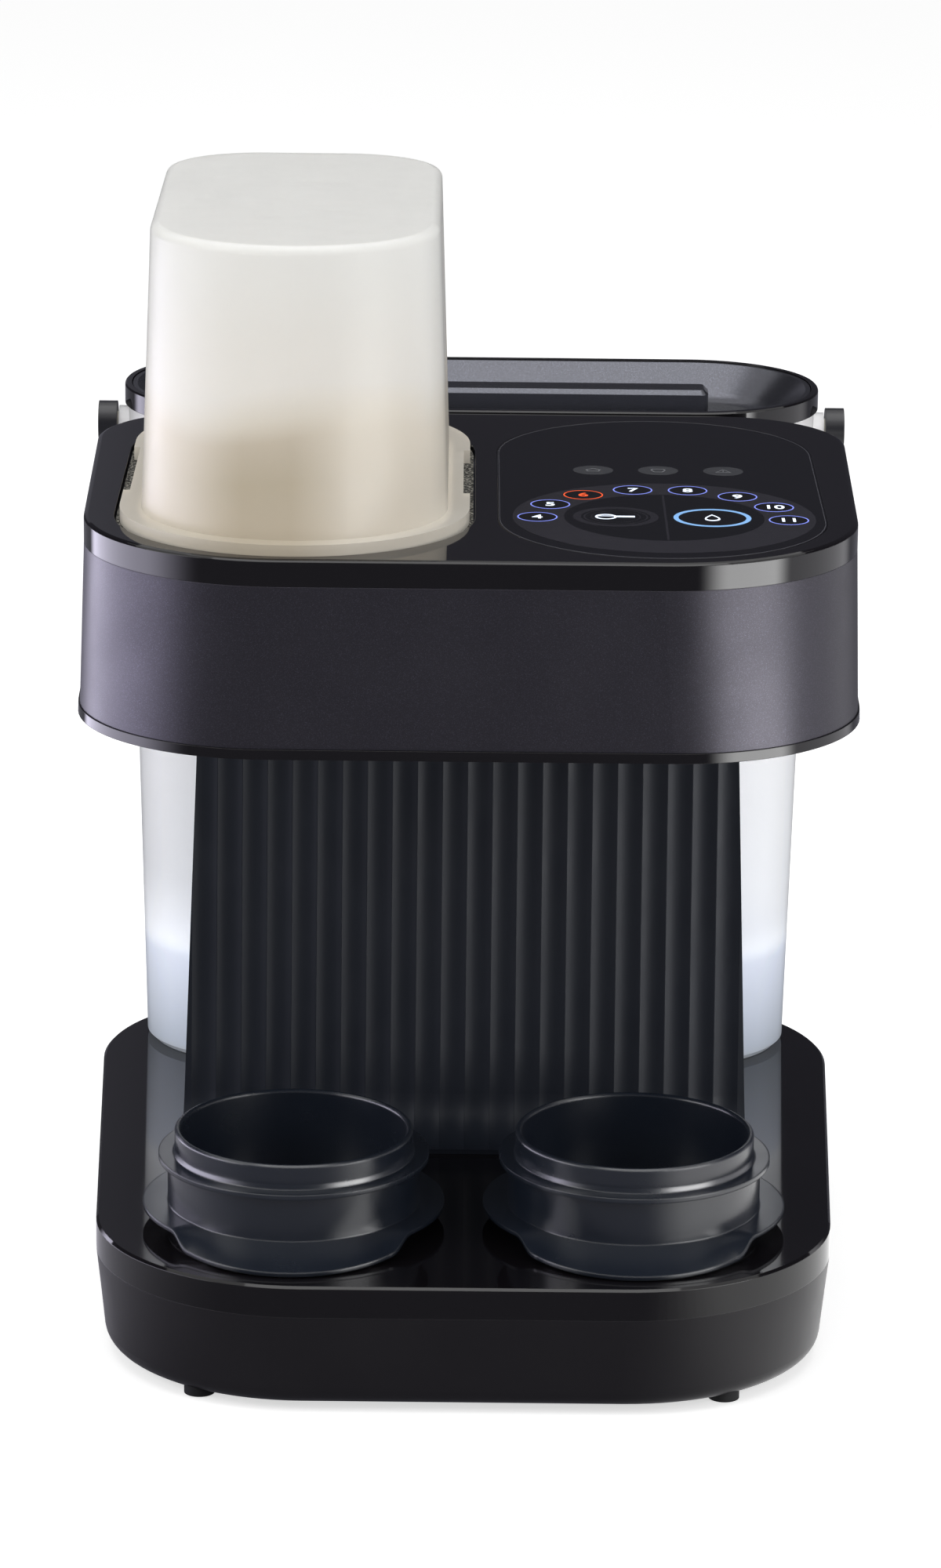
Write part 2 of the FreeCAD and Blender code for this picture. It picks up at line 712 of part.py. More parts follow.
def band_low():
    """Seam between the lower lip and the head band."""
    return size("head_low") + size("lip_high")


def ledge_top():
    """Top of the ledge round the hopper recess."""
    return size("head_top") - size("recess_deep")


def plate_low():
    """Underside of the top panel's plate."""
    return size("head_top") - size("plate_thick")


def flange_low():
    """Underside of the hopper's flange, above its gasket."""
    return ledge_top() + size("gap") + size("gasket_thick")


def tank_low():
    """Underside of the tank."""
    return size("deck_top") + size("gap")


# ---------------------------------------------------------------- base

def foot_places():
    """Centres of the four rubber feet."""
    front = size("base_front") + size("foot_front")
    rear = size("base_front") + size("base_depth") - size("foot_rear")
    return [(side * size("foot_spread"), y) for y in (front, rear) for side in (-1.0, 1.0)]


def post_places():
    """Centres of the posts that carry the deck, inward of the feet."""
    inward = size("post_inward")
    (left, front), (right, _), (_, rear), _ = foot_places()
    return [(x, y) for y in (front + inward, rear - inward) for x in (left + inward, right - inward)]


def make_base_pan():
    """The lower moulding, drawn in toward a rounded bottom edge."""
    body = new_body("base_pan")
    plan = base_plan()
    low, seam, wall = size("pan_low"), size("skirt_low"), size("wall")
    raise_leaning(body, "outside", plan, seam, seam - low, size("pan_lean"), downward=True)
    round_edges(body, edges_at(body.Shape, low.value)[:1], size("pan_edge"))
    depth = seam - low - wall
    cut_leaning(body, "hollow", plan.inset(wall), seam, depth, size("pan_cavity_lean"))
    for number, (x, y) in enumerate(post_places()):
        raise_disc(body, f"post{number}", x, y, size("post_radius"), low + wall / 2.0,
                   size("deck_top") - wall)
    for number, (x, y) in enumerate(foot_places()):
        cut_disc(body, f"foot{number}", x, y, size("foot_radius") + size("snug"),
                 low, low + size("foot_sink"))
    rear = size("base_front") + size("base_depth")
    drawing = sketch(body, "inlet", role="XZ_Plane", level=-rear)
    circle(drawing, size("gland_x"), size("gland_z"), size("gland_radius") + size("snug"))
    pocket(body, drawing, size("pan_edge") * 2.0, upward=True)


def make_base_deck():
    """The glossy deck with its skirt, the plinths that locate the holders and two tube holes."""
    body = new_body("base_deck")
    plan = base_plan()
    low, top, wall = size("skirt_low"), size("deck_top"), size("wall")
    raise_plan(body, "plate", plan, low, top)
    cut_plan(body, "hollow", plan.inset(wall), low, top - wall)
    round_edges(body, edges_at(body.Shape, top.value)[:1], size("deck_edge"), kind="Chamfer")
    plinth = size("holder_body") - size("holder_wall") - size("gap")
    for number, side in enumerate((-1.0, 1.0)):
        x = side * size("holder_apart")
        raise_disc(body, f"plinth{number}", x, holder_y(), plinth, top, top + size("plinth_high"))
    holes = ((0, size("bail_pivot_y")), (size("pump_x"), size("works_y")))
    for number, (x, y) in enumerate(holes):
        cut_disc(body, f"tube{number}", x, y, size("tube_radius") + size("gap"), top - wall, top)


def make_feet():
    """Four rubber feet."""
    height = size("pan_low") + size("foot_sink")
    feet = []
    for number, (x, y) in enumerate(foot_places()):
        feet.append(primitive("Cylinder", f"foot_{number}", (x, y, 0),
                              Radius=size("foot_radius"), Height=height))
    group_of("rubber_feet", feet)


def make_mains_gland():
    """The ring in the rear of the pan where the mains lead goes in."""
    rear = size("base_front") + size("base_depth")
    at, high, length = size("gland_x"), size("gland_z"), size("gland_long")
    outer = primitive("Cylinder", "gland_ring", (at, rear, high), Radius=size("gland_radius"), Height=length)
    inner = primitive("Cylinder", "gland_bore", (at, rear + 1.0, high), Radius=size("gland_bore"),
                      Height=length + 2.0)
    for ring in (outer, inner):
        ring.Placement.Rotation = FreeCAD.Rotation(V(1, 0, 0), 90)
    single(minus("mains_gland", outer, inner))


# ---------------------------------------------------------------- bottle holders

def tongue_top(radius):
    """Level of the tongue's upper face at a distance from the holder's axis."""
    inner = size("holder_body") - size("root")
    low = size("deck_top") + size("gap") + size("skirt_edge")
    share = (radius - inner) / (size("tongue_reach") - inner)
    return size("holder_skirt_high") - share * (size("holder_skirt_high") - low)


def tongue_end():
    """Distance from the axis at which the round lip meets the tongue's sides."""
    reach, lip = size("tongue_reach"), size("tongue_round")
    back, half = reach - lip, size("tongue_half")
    angle = math.radians(half.value)
    value = back.value * math.cos(angle)
    value += math.sqrt(lip.value ** 2 - (back.value * math.sin(angle)) ** 2)
    text = (f"({back.text} * cos({half.text}) + "
            f"sqrt({lip.text} ^ 2 - ({back.text} * sin({half.text})) ^ 2))")
    return Size(value, text)


def shoulder_section(body, name, side, angle, radius, level):
    """A cut through a shoulder: a thin plate from the holder's wall out to a radius and a level."""
    drawing = sketch(body, name, role="XZ_Plane")
    turn = as_size(90.0) + angle * side
    drawing.AttachmentOffset = FreeCAD.Placement(V(0, 0, 0), FreeCAD.Rotation(V(0, 1, 0), turn.value))
    drawing.setExpression("AttachmentOffset.Rotation.Angle", turn.text)
    inner, high, edge = size("holder_body") - size("root"), size("holder_skirt_high"), size("skirt_edge")
    polygon(drawing, [(-inner, high), (-radius, level), (-radius, level - edge), (-inner, high - edge)])
    return drawing


def make_shoulder(body, side):
    """The S-shaped fall of the lower flange to one side of the tongue."""
    flange, skirt_top = size("holder_skirt"), size("holder_skirt_high")
    end = tongue_end()
    sections = []
    curve = ((0.0, 1.0), (0.25, 0.84), (0.5, 0.5), (0.75, 0.16), (1.0, 0.0))
    for number, (along, fallen) in enumerate(curve):
        angle = size("tongue_half") + size("shoulder") * along
        radius = flange + (end - flange) * fallen
        level = skirt_top - (skirt_top - tongue_top(end)) * fallen
        name = f"shoulder_{'right' if side > 0 else 'left'}{number}"
        sections.append(shoulder_section(body, name, side, angle, radius, level))
    DOCUMENT.recompute()
    fall = body.newObject("PartDesign::AdditiveLoft", f"{sections[0].Name}_loft")
    fall.Profile = sections[0]
    fall.Sections = sections[1:]
    finish_feature(fall)


def turned_sector(body, name, profile, angle):
    """A sector turned about the holder's axis, even to both sides of the YZ plane."""
    drawing = sketch(body, name, role="YZ_Plane")
    polygon(drawing, profile)
    feature = body.newObject("PartDesign::Revolution", f"{body.Name}_{name}")
    feature.Profile = drawing
    feature.ReferenceAxis = (drawing, ["V_Axis"])
    feature.Midplane = True
    return finish_feature(feature, Angle=angle)


def make_holder(name, side):
    """A turned collar with two flanges; the lower one falls to the deck in a round-lipped tongue."""
    body = new_body(name)
    rim, wall, outside = size("holder_rim"), size("holder_wall"), size("holder_body")
    top, low = size("holder_top"), size("deck_top") + size("gap")
    flange_top, skirt_top = size("holder_flange_high"), size("holder_skirt_high")
    floor = size("deck_top") + size("plinth_high") + size("gap")
    inner, reach, edge = outside - size("root"), size("tongue_reach"), size("skirt_edge")
    turned_sector(body, "tongue", [
        (-inner, skirt_top), (-reach - 1.0, tongue_top(reach + 1.0)),
        (-reach - 1.0, tongue_top(reach + 1.0) - edge), (-inner, skirt_top - edge),
    ], 2.0 * size("tongue_half"))
    lip = sketch(body, "lip", level=low - 1.0)
    circle(lip, 0, size("tongue_round") - reach, size("tongue_round"))
    circle(lip, 0, 0, reach * 2.0)
    pocket(body, lip, skirt_top, upward=True)
    profile = [
        (0, floor), (outside - wall, floor), (outside - wall, low), (outside, low),
        (outside, flange_top - size("flange_edge")),
        (size("holder_flange"), flange_top - size("flange_edge")), (size("holder_flange"), flange_top),
        (rim + size("neck_flare"), flange_top), (rim, flange_top + size("flange_edge")),
        (rim, top - size("holder_round")), (rim - size("holder_round"), top),
        (rim - wall + size("holder_round"), top), (rim - wall, top - size("holder_round")),
        (rim - wall, floor + wall), (0, floor + wall),
    ]
    collar = sketch(body, "profile", role="XZ_Plane")
    polygon(collar, profile)
    feature = body.newObject("PartDesign::Revolution", f"{name}_collar")
    feature.Profile = collar
    feature.ReferenceAxis = (collar, ["V_Axis"])
    finish_feature(feature, Angle=as_size(360.0))
    turned_sector(body, "flange", [
        (inner, skirt_top - edge), (size("holder_skirt"), skirt_top - edge),
        (size("holder_skirt"), skirt_top), (inner, skirt_top),
    ], 360.0 - 2.0 * (size("tongue_half") + size("shoulder")))
    make_shoulder(body, 1.0)
    make_shoulder(body, -1.0)
    place(body, side * size("holder_apart"), holder_y(), 0)


# ---------------------------------------------------------------- column

def panel_line(level):
    """The splashback's front face at a level."""
    share = (level - size("deck_top")) / (size("head_low") - size("deck_top"))
    return size("panel_foot") + share * (size("panel_head") - size("panel_foot"))


def column_half(level):
    """Half width of the column at a level."""
    share = (level - size("deck_top")) / (size("head_low") - size("deck_top"))
    return size("column_foot_half") + share * (size("column_top_half") - size("column_foot_half"))


def cove_points():
    """Numbers of the face line's tangent point, the cove's centre and its toe, in (y, z)."""
    foot, head = size("panel_foot").value, size("panel_head").value
    deck, top = size("deck_top").value, size("head_low").value
    radius = size("cove_radius").value
    lean = math.atan2(head - foot, top - deck)
    centre_z = deck + size("cove_toe").value + radius
    face_y = foot + (centre_z - deck) * math.tan(lean)
    centre_y = face_y - radius / math.cos(lean)
    tangent = (centre_y + radius * math.cos(lean), centre_z - radius * math.sin(lean))
    return tangent, (centre_y, centre_z), lean


def face_and_cove(drawing, top_level):
    """Draws the face line and its cove arc, both bound; returns their geometry numbers."""
    tangent, centre, lean = cove_points()
    top = as_size(top_level)
    start = V(panel_line(top).value, top.value, 0)
    line = drawing.addGeometry(Part.LineSegment(start, V(tangent[0], tangent[1], 0)), False)
    whole = Part.Circle(V(centre[0], centre[1], 0), V(0, 0, 1), size("cove_radius").value)
    arc = drawing.addGeometry(Part.ArcOfCircle(whole, -0.5 * math.pi, -lean), False)
    foot = drawing.addGeometry(Part.Point(V(size("panel_foot").value, size("deck_top").value, 0)), True)
    drawing.addConstraint(Sketcher.Constraint("Tangent", line, 2, arc, 2))
    hold(drawing, "DistanceX", foot, 1, size("panel_foot"))
    hold(drawing, "DistanceY", foot, 1, size("deck_top"))
    drawing.addConstraint(Sketcher.Constraint("PointOnObject", foot, 1, line))
    hold(drawing, "DistanceX", line, 1, panel_line(top))
    hold(drawing, "DistanceY", line, 1, top)
    hold(drawing, "Radius", arc, size("cove_radius"))
    hold(drawing, "DistanceY", arc, 1, size("deck_top") + size("cove_toe"))
    drawing.addConstraint(Sketcher.Constraint("Vertical", arc, 1, arc, 3))
    return line, arc


def make_flute_panel():
    """The fluted splashback: a leaning slab with a cove at its foot, and a row of swept flutes."""
    body = new_body("flute_panel")
    deck, top = size("deck_top"), size("head_low")
    drawing = sketch(body, "side", role="YZ_Plane")
    line, arc = face_and_cove(drawing, top)
    toe = drawing.GeometryCount
    _, centre, _ = cove_points()
    back_low = panel_line(deck) + size("panel_thick")
    back_high = panel_line(top) + size("panel_thick")
    corners = [
        V(centre[0], deck.value + size("cove_toe").value, 0), V(centre[0], deck.value, 0),
        V(back_low.value, deck.value, 0), V(back_high.value, top.value, 0),
        V(panel_line(top).value, top.value, 0),
    ]
    for start, end in zip(corners, corners[1:]):
        drawing.addGeometry(Part.LineSegment(start, end), False)
    drawing.addConstraint(Sketcher.Constraint("Coincident", arc, 1, toe, 1))
    for number in range(toe, toe + 3):
        drawing.addConstraint(Sketcher.Constraint("Coincident", number, 2, number + 1, 1))
    drawing.addConstraint(Sketcher.Constraint("Coincident", toe + 3, 2, line, 1))
    drawing.addConstraint(Sketcher.Constraint("Vertical", toe))
    hold(drawing, "DistanceY", toe, 2, deck)
    hold(drawing, "DistanceX", toe + 1, 2, back_low)
    hold(drawing, "DistanceY", toe + 1, 2, deck)
    hold(drawing, "DistanceX", toe + 2, 2, back_high)
    hold(drawing, "DistanceY", toe + 2, 2, top)
    pad_both_ways(body, drawing, 2.0 * size("column_foot_half"))

    pitch, deep = size("flute_pitch"), size("flute_deep")
    wide = pitch - size("flute_land")
    radius = (wide * wide / 4.0 + deep * deep) / (2.0 * deep)
    first_x = -pitch * ((FLUTES - 1) / 2.0)
    path = sketch(body, "flute_path", role="YZ_Plane")
    face_and_cove(path, top + 2.0)
    round_cut = sketch(body, "flute", level=top + 2.0)
    circle(round_cut, first_x, panel_line(top + 2.0) - radius + deep, radius)
    DOCUMENT.recompute()
    flute = body.newObject("PartDesign::SubtractivePipe", "flute_cut")
    flute.Profile = round_cut
    flute.Spine = (path, ["Edge1", "Edge2"])
    finish_feature(flute)
    row = body.newObject("PartDesign::LinearPattern", "flute_row")
    row.Originals = [flute]
    row.Direction = (round_cut, ["H_Axis"])
    row.Occurrences = FLUTES
    finish_feature(row, Length=pitch * (FLUTES - 1.0))
    body.Tip = row
    DOCUMENT.recompute()
    sides = sketch(body, "sides", role="XZ_Plane")
    foot, head = size("column_foot_half"), size("column_top_half")
    for side in (-1.0, 1.0):
        polygon(sides, [(side * foot, deck), (side * (foot + 2.0), deck),
                        (side * (foot + 2.0), top), (side * head, top)])
    pocket(body, sides, size("base_depth"), both_ways=True)


def make_column_shell():
    """Two side walls and a rear wall, wider at the deck, open at the front for the splashback."""
    body = new_body("column_shell")
    deck, top, wall = size("deck_top"), size("head_low"), size("wall")
    thick, rear = size("panel_thick"), size("column_rear")
    outside, inside = [], []
    for level in (deck, top):
        half, front = column_half(level), panel_line(level) + thick
        corner, edge = size("column_corner"), size("column_edge")
        outside.append((level, Plan(0, half, half, front, rear, edge, corner)))
        inner, start = half - wall, front - size("column_front_open")
        inside.append((level, Plan(0, inner, inner, start, rear - wall, edge, corner - wall)))
    loft(body, "block", outside)
    loft(body, "hollow", inside, cut=True)


# ---------------------------------------------------------------- head

def make_head_shell():
    """The band round the head."""
    body = new_body("head_shell")
    low, high, wall = band_low(), size("trim_low"), size("wall")
    loft(body, "outside", [(low, head_plan(low)), (high, head_plan(high))])
    loft(body, "hollow", [(low, head_plan(low).inset(wall)), (high, head_plan(high).inset(wall))],
         cut=True)


def make_top_panel():
    """The glossy top panel: a plate with a skirt, the hopper's recess and the glass's recess."""
    body = new_body("head_top_panel")
    low, top, wall = size("trim_low"), size("head_top"), size("wall")
    seat = top - size("glass_thick")
    raise_plan(body, "outside", head_plan(low), low, top)
    cut_plan(body, "hollow", head_plan(low).inset(wall), low, plate_low())
    round_edges(body, edges_at(body.Shape, top.value)[:1], size("deck_edge"), kind="Chamfer")
    cut_plan(body, "recess", recess_plan(), ledge_top(), top)
    right = size("hopper_middle") + size("recess_half")
    rim = edges_at(body.Shape, top.value, lambda box: box.XMax < right.value + 0.01
                   and box.YMin > size("recess_front").value - 0.01
                   and box.YMax < size("recess_rear").value + 0.01)
    round_edges(body, rim[:1], size("recess_edge"), kind="Chamfer")
    cut_plan(body, "mouth", recess_plan().inset(size("mouth_inset")), plate_low(), ledge_top())
    cut_plan(body, "glass_seat", glass_plan(), seat, top)
    cut_plan(body, "window", glass_plan().inset(size("glass_ledge")), plate_low(), seat)


def make_under_cover():
    """The head's underside with its proud lip, a locating rib and the two outlet holes."""
    body = new_body("head_under_cover")
    low, seam = size("head_low"), band_low()
    loft(body, "lip", [(low, head_plan(low).inset(-size("lip_proud"))),
                       (seam, head_plan(seam).inset(-size("lip_proud")))])
    rib = head_plan(seam).inset(size("wall") + size("gap"))
    raise_plan(body, "rib", rib, seam, seam + size("rib_high"))
    cut_plan(body, "inside", rib.inset(size("rib_thick")), seam, seam + size("rib_high"))
    x, boss, shaft = size("hopper_middle"), size("gear_low") - 1.0, size("shaft_radius")
    raise_disc(body, "drive_boss", x, wheel_y(), shaft + size("drive_boss_wall"), seam, boss)
    cut_disc(body, "drive_bore", x, wheel_y(), shaft + size("running"), seam, boss)
    cut_disc(body, "chute_hole", x, holder_y(), size("chute_hole"), low, seam)
    cut_disc(body, "nozzle_hole", size("holder_apart"), holder_y(),
             size("nozzle_radius") + size("gap"), low, seam)
    drawing = sketch(body, "duct", level=low)
    half = size("duct_half")
    box_outline(drawing, -half, half, size("duct_front"), size("duct_rear"))
    pocket(body, drawing, size("lip_high"), upward=True)


def make_touch_glass():
    """The round-ended touch glass, flush with the top panel, and its board underneath."""
    top = size("head_top")
    body = new_body("touch_glass")
    raise_plan(body, "plate", glass_plan().inset(size("glass_gap")), top - size("glass_thick"), top)
    board = new_body("touch_board")
    outline = glass_plan().inset(size("board_inset"))
    raise_plan(board, "plate", outline, plate_low() - size("board_thick"), plate_low())


# ---------------------------------------------------------------- hopper

def make_hopper_well():
    """The basin under the recess that takes the dosing tray."""
    body = new_body("hopper_well")
    floor, top, wall = size("well_floor"), plate_low(), size("well_wall")
    mouth, side = size("mouth_inset"), size("well_side")
    raise_plan(body, "basin", recess_plan().inset(mouth - side), floor, top)
    raise_plan(body, "flange", recess_plan().inset(mouth - side * 2.0), top - side, top)
    cut_plan(body, "inside", recess_plan().inset(mouth), floor + wall, top)
    cut_disc(body, "outlet", size("hopper_middle"), holder_y(), size("outlet_radius"), floor, floor + wall)
    cut_disc(body, "drive", size("hopper_middle"), wheel_y(), size("dog_neck") + size("gap"),
             floor, floor + wall)


def make_hopper_tub():
    """The frosted tub, open below, with a notched flange round its mouth."""
    body = new_body("hopper_tub")
    low, top, wall = flange_low(), size("tub_top"), size("tub_wall")
    flange = recess_plan().inset(size("flange_inset"))
    lean, edge = size("tub_lean"), size("tub_edge")
    raise_leaning(body, "wall", tub_plan(), low, top - low, lean)
    round_edges(body, edges_at(body.Shape, top.value)[:1], edge)
    raise_plan(body, "flange", flange, low, low + size("flange_thick"))
    notches = sketch(body, "notches", level=low)
    side = size("recess_half") - size("flange_inset")
    for sign in (-1.0, 1.0):
        inner = size("hopper_middle") + sign * (side - size("notch_deep"))
        outer = size("hopper_middle") + sign * (side + 1.0)
        box_outline(notches, inner, outer, size("notch_front"), size("notch_rear"))
    pocket(body, notches, size("flange_thick"), upward=True)
    cut_leaning(body, "hollow", tub_plan().inset(wall), low, top - wall - low, lean, upward=True)
    round_edges(body, edges_at(body.Shape, (top - wall).value)[:1], edge - wall, kind="Chamfer")


def make_hopper_gasket():
    """The soft ring under the hopper's flange, a little wider than it."""
    body = new_body("hopper_gasket")
    low = ledge_top() + size("gap")
    raise_plan(body, "ring", recess_plan().inset(size("gasket_inset")), low, flange_low())
    cut_plan(body, "mouth", recess_plan().inset(size("gasket_mouth")), low, flange_low())


def make_dosing_tray():
    """The tray under the tub's mouth: a basin, the wheel's chamber and the outlet."""
    body = new_body("dosing_tray")
    low, deck = tray_low(), size("tray_deck")
    floor, top = low + size("tray_floor"), flange_low() - size("gap")
    x = size("hopper_middle")
    raise_plan(body, "block", tray_plan(), low, top)
    cut_plan(body, "basin", tray_plan().inset(size("tray_wall")), deck, top)
    cut_disc(body, "chamber", x, wheel_y(), size("wheel_radius") + size("gap"), floor, deck)
    cut_disc(body, "outlet", x, holder_y(), size("outlet_radius"), low, floor)
    cut_disc(body, "hub", x, wheel_y(), size("hub_radius") + size("running"), low, floor)


def make_metering_baffle():
    """The plate that keeps loose powder off the pocket above the outlet."""
    half = size("pocket_radius") + size("baffle_over") * 2.0
    front = wheel_y() - size("wheel_radius") - size("baffle_front")
    rear = holder_y() + half
    single(primitive("Box", "metering_baffle", (size("hopper_middle") - half, front, size("tray_deck")),
                     Length=2.0 * half, Width=rear - front, Height=size("baffle_thick")))


def make_dosing_wheel():
    """The wheel whose pockets carry the powder, with a hub and a socket for the drive dog."""
    body = new_body("dosing_wheel")
    low = tray_low() + size("tray_floor") + size("gap")
    high = size("tray_deck") - size("wheel_sink")
    raise_disc(body, "disc", 0, 0, size("wheel_radius"), low, high)
    raise_disc(body, "hub", 0, 0, size("hub_radius"), tray_low(), low)
    hole = cut_disc(body, "pocket", 0, -size("pocket_circle"), size("pocket_radius"), low, high)
    ring = body.newObject("PartDesign::PolarPattern", "pocket_ring")
    ring.Originals = [hole]
    ring.Axis = (hole.Profile[0], ["N_Axis"])
    ring.Occurrences = POCKETS
    finish_feature(ring, Angle=360.0)
    body.Tip = ring
    DOCUMENT.recompute()
    socket = sketch(body, "socket", level=tray_low())
    hexagon(socket, size("dog_radius") + size("gap"))
    pocket(body, socket, size("dog_high") + size("wheel_sink") * 2.0, upward=True)
    place(body, size("hopper_middle"), wheel_y(), 0)


def hexagon(drawing, radius):
    """A six-sided outline about the sketch's origin."""
    polygon(drawing, [(radius * math.cos(math.radians(60 * number)),
                       radius * math.sin(math.radians(60 * number))) for number in range(6)])


def make_agitator():
    """A spindle with two arms that stirs the powder above the wheel."""
    low = size("tray_deck") - size("wheel_sink")
    x, y = size("hopper_middle"), wheel_y()
    high, half, wide = size("spindle_high"), size("arm_half"), size("arm_wide")
    spindle = primitive("Cylinder", "agitator_spindle", (x, y, low), Radius=size("spindle_radius"),
                        Height=high)
    arm = primitive("Box", "agitator_arm", (x - half, y - wide / 2.0, low + high / 2.0),
                    Length=half * 2.0, Width=wide, Height=size("arm_thick"))
    single(together("agitator", [spindle, arm]))


def gear(name, teeth, y, first_angle):
    """A toothed disc on a vertical axis, as a body that later features can add a shaft to."""
    body = new_body(name)
    module, low, thick = size("gear_module"), size("gear_low"), size("gear_thick")
    pitch = module * (teeth / 2.0)
    raise_disc(body, "disc", 0, 0, pitch - module * 1.2, low, low + thick)
    tooth = sketch(body, "tooth", level=low)
    root = (pitch - module * 1.3, module * 1.02)
    tip = (pitch + module * 0.9, module * 0.34)
    polygon(tooth, widths_to_corners([root, (pitch, module * 0.72), tip], math.radians(first_angle)))
    first = pad(body, tooth, thick)
    ring = body.newObject("PartDesign::PolarPattern", f"{name}_teeth")
    ring.Originals = [first]
    ring.Axis = (tooth, ["N_Axis"])
    ring.Occurrences = teeth
    finish_feature(ring, Angle=360.0)
    body.Tip = ring
    DOCUMENT.recompute()
    place(body, size("hopper_middle"), y, 0)
    return body


def widths_to_corners(widths, turn):
    """Corners of one tooth from its (radius, half width) pairs, turned about the axis."""
    right = [(radius, -half) for radius, half in widths]
    left = [(radius, half) for radius, half in reversed(widths)]
    return [(along * math.cos(turn) - across * math.sin(turn),
             along * math.sin(turn) + across * math.cos(turn)) for along, across in right + left]


def make_drive():
    """The drive gear with its shaft and dog, the pinion on its shaft, and the motor."""
    low, thick = size("gear_low"), size("gear_thick")
    drive = gear("drive_gear", GEAR_TEETH, wheel_y(), 90.0)
    shoulder = tray_low() - 1.0
    raise_disc(drive, "shaft", 0, 0, size("shaft_radius"), band_low() + 1.0, low)
    raise_disc(drive, "neck", 0, 0, size("dog_neck"), low + thick, shoulder)
    dog = sketch(drive, "dog", level=shoulder)
    hexagon(dog, size("dog_radius"))
    pad(drive, dog, size("dog_high"))

    x, y = size("hopper_middle"), pinion_y()
    shaft, reach = size("motor_shaft"), size("motor_shaft_long")
    pinion = gear("motor_pinion", PINION_TEETH, y, 90.0 + 180.0 / PINION_TEETH)
    raise_disc(pinion, "shaft", 0, 0, shaft, low - reach, low)
    case_low, case_top = band_low(), low - size("gap") * 5.0
    case = primitive("Cylinder", "motor_case", (x, y, case_low), Radius=size("motor_radius"),
                     Height=case_top - case_low)
    bore = primitive("Cylinder", "motor_bore", (x, y, low - reach - size("gap")),
                     Radius=shaft + size("running"), Height=reach * 2.0)
    single(minus("dosing_motor", case, bore))


def make_powder_chute():
    """The funnel from the well to the outlet under the head, resting on the cover by a collar."""
    top, low, seam = size("well_floor"), size("chute_low"), band_low()
    inner, outer = size("outlet_radius"), size("outlet_radius") + size("chute_wall")
    collar, thick = size("chute_hole") + size("collar_wide"), size("collar_thick")
    profile = [(inner, top), (outer, top), (outer, seam + thick), (collar, seam + thick),
               (collar, seam), (outer, seam), (outer, low), (inner, low)]
    turned("powder_chute", profile, size("hopper_middle"), holder_y())


# ---------------------------------------------------------------- water side

def make_nozzle():
    """The water outlet above the right holder."""
    low, seam, thick = size("chute_low"), band_low(), size("collar_thick")
    bore, radius, flange = size("nozzle_bore"), size("nozzle_radius"), size("nozzle_flange")
    spigot, top = size("spigot_radius"), seam + thick + size("spigot_high")
    profile = [(bore, low), (radius - thick, low), (radius, low + thick), (radius, seam), (flange, seam),
               (flange, seam + thick), (spigot, seam + thick), (spigot, top), (bore, top)]
    turned("water_nozzle", profile, size("holder_apart"), holder_y())


def make_water_works():
    """Pump, heater and the pipe between them, and the control board behind."""
    deck, x, y = size("deck_top"), size("pump_x"), size("works_y")
    long, deep, high = size("pump_long"), size("pump_deep"), size("pump_high")
    case = primitive("Box", "pump_case", (x - long / 2.0, y - deep / 2.0, deck),
                     Length=long, Width=deep, Height=high)
    drum = primitive("Cylinder", "pump_drum", (x, y, deck + high), Radius=size("drum_radius"),
                     Height=size("drum_high"))
    single(together("water_pump", [case, drum]))
    start, end = x + long / 2.0, size("heater_x") - size("heater_radius") - size("snug")
    pipe = primitive("Cylinder", "transfer_pipe", (start, y, deck + size("pipe_high")),
                     Radius=size("tube_radius"), Height=end - start)
    pipe.Placement.Rotation = FreeCAD.Rotation(V(0, 1, 0), 90)
    single(pipe)
    single(primitive("Cylinder", "water_heater", (size("heater_x"), y, deck),
                     Radius=size("heater_radius"), Height=size("heater_high")))
    half, thick = size("board_half"), size("board_thick")
    behind = size("column_rear") - size("wall") - thick
    single(primitive("Box", "control_board", (-half, behind, deck + size("board_low")),
                     Length=half * 2.0, Width=thick, Height=size("board_high")))


def routed_tube(name, corners):
    """A round tube of straight runs and bends through its corner points."""
    points = [V(*(as_size(value).value for value in corner)) for corner in corners]
    bend, radius = size("bend_radius").value, size("tube_radius").value
    edges = []
    start = points[0]
    for before, corner, after in zip(points, points[1:], points[2:]):
        inward = (before - corner).normalize()
        outward = (after - corner).normalize()
        turn = math.pi - inward.getAngle(outward)
        back = bend * math.tan(turn / 2.0)
        enter, leave = corner + inward * back, corner + outward * back
        middle = corner + (inward + outward).normalize() * (bend / math.cos(turn / 2.0) - bend)
        edges.append(Part.LineSegment(start, enter).toShape())
        edges.append(Part.Arc(enter, middle, leave).toShape())
        start = leave
    edges.append(Part.LineSegment(start, points[-1]).toShape())
    path = Part.Wire(edges)
    ring = Part.Wire([Part.Circle(points[0], points[1] - points[0], radius).toShape()])
    tube = DOCUMENT.addObject("Part::Feature", name)
    tube.Shape = path.makePipeShell([ring], True, True)
    return tube


def make_tubes():
    """The tubes from the tank's socket to the pump and from the heater to the nozzle."""
    deck, seam = size("deck_top"), band_low()
    under, high = size("pan_low") + size("tube_drop"), seam + size("tube_rise")
    mid, back, pump = size("works_y"), size("bail_pivot_y"), size("pump_x")
    single(routed_tube("inlet_tube", [(0, back, deck), (0, back, under), (pump, mid, under),
                                      (pump, mid, deck)]))
    start, out = size("heater_x") + size("heater_radius") / 3.0, size("holder_apart")
    spigot = seam + size("collar_thick") + size("spigot_high")
    single(routed_tube("outlet_tube", [(start, mid, deck + size("heater_high")), (start, mid, high),
                                       (out, holder_y(), high), (out, holder_y(), spigot)]))


# ---------------------------------------------------------------- tank

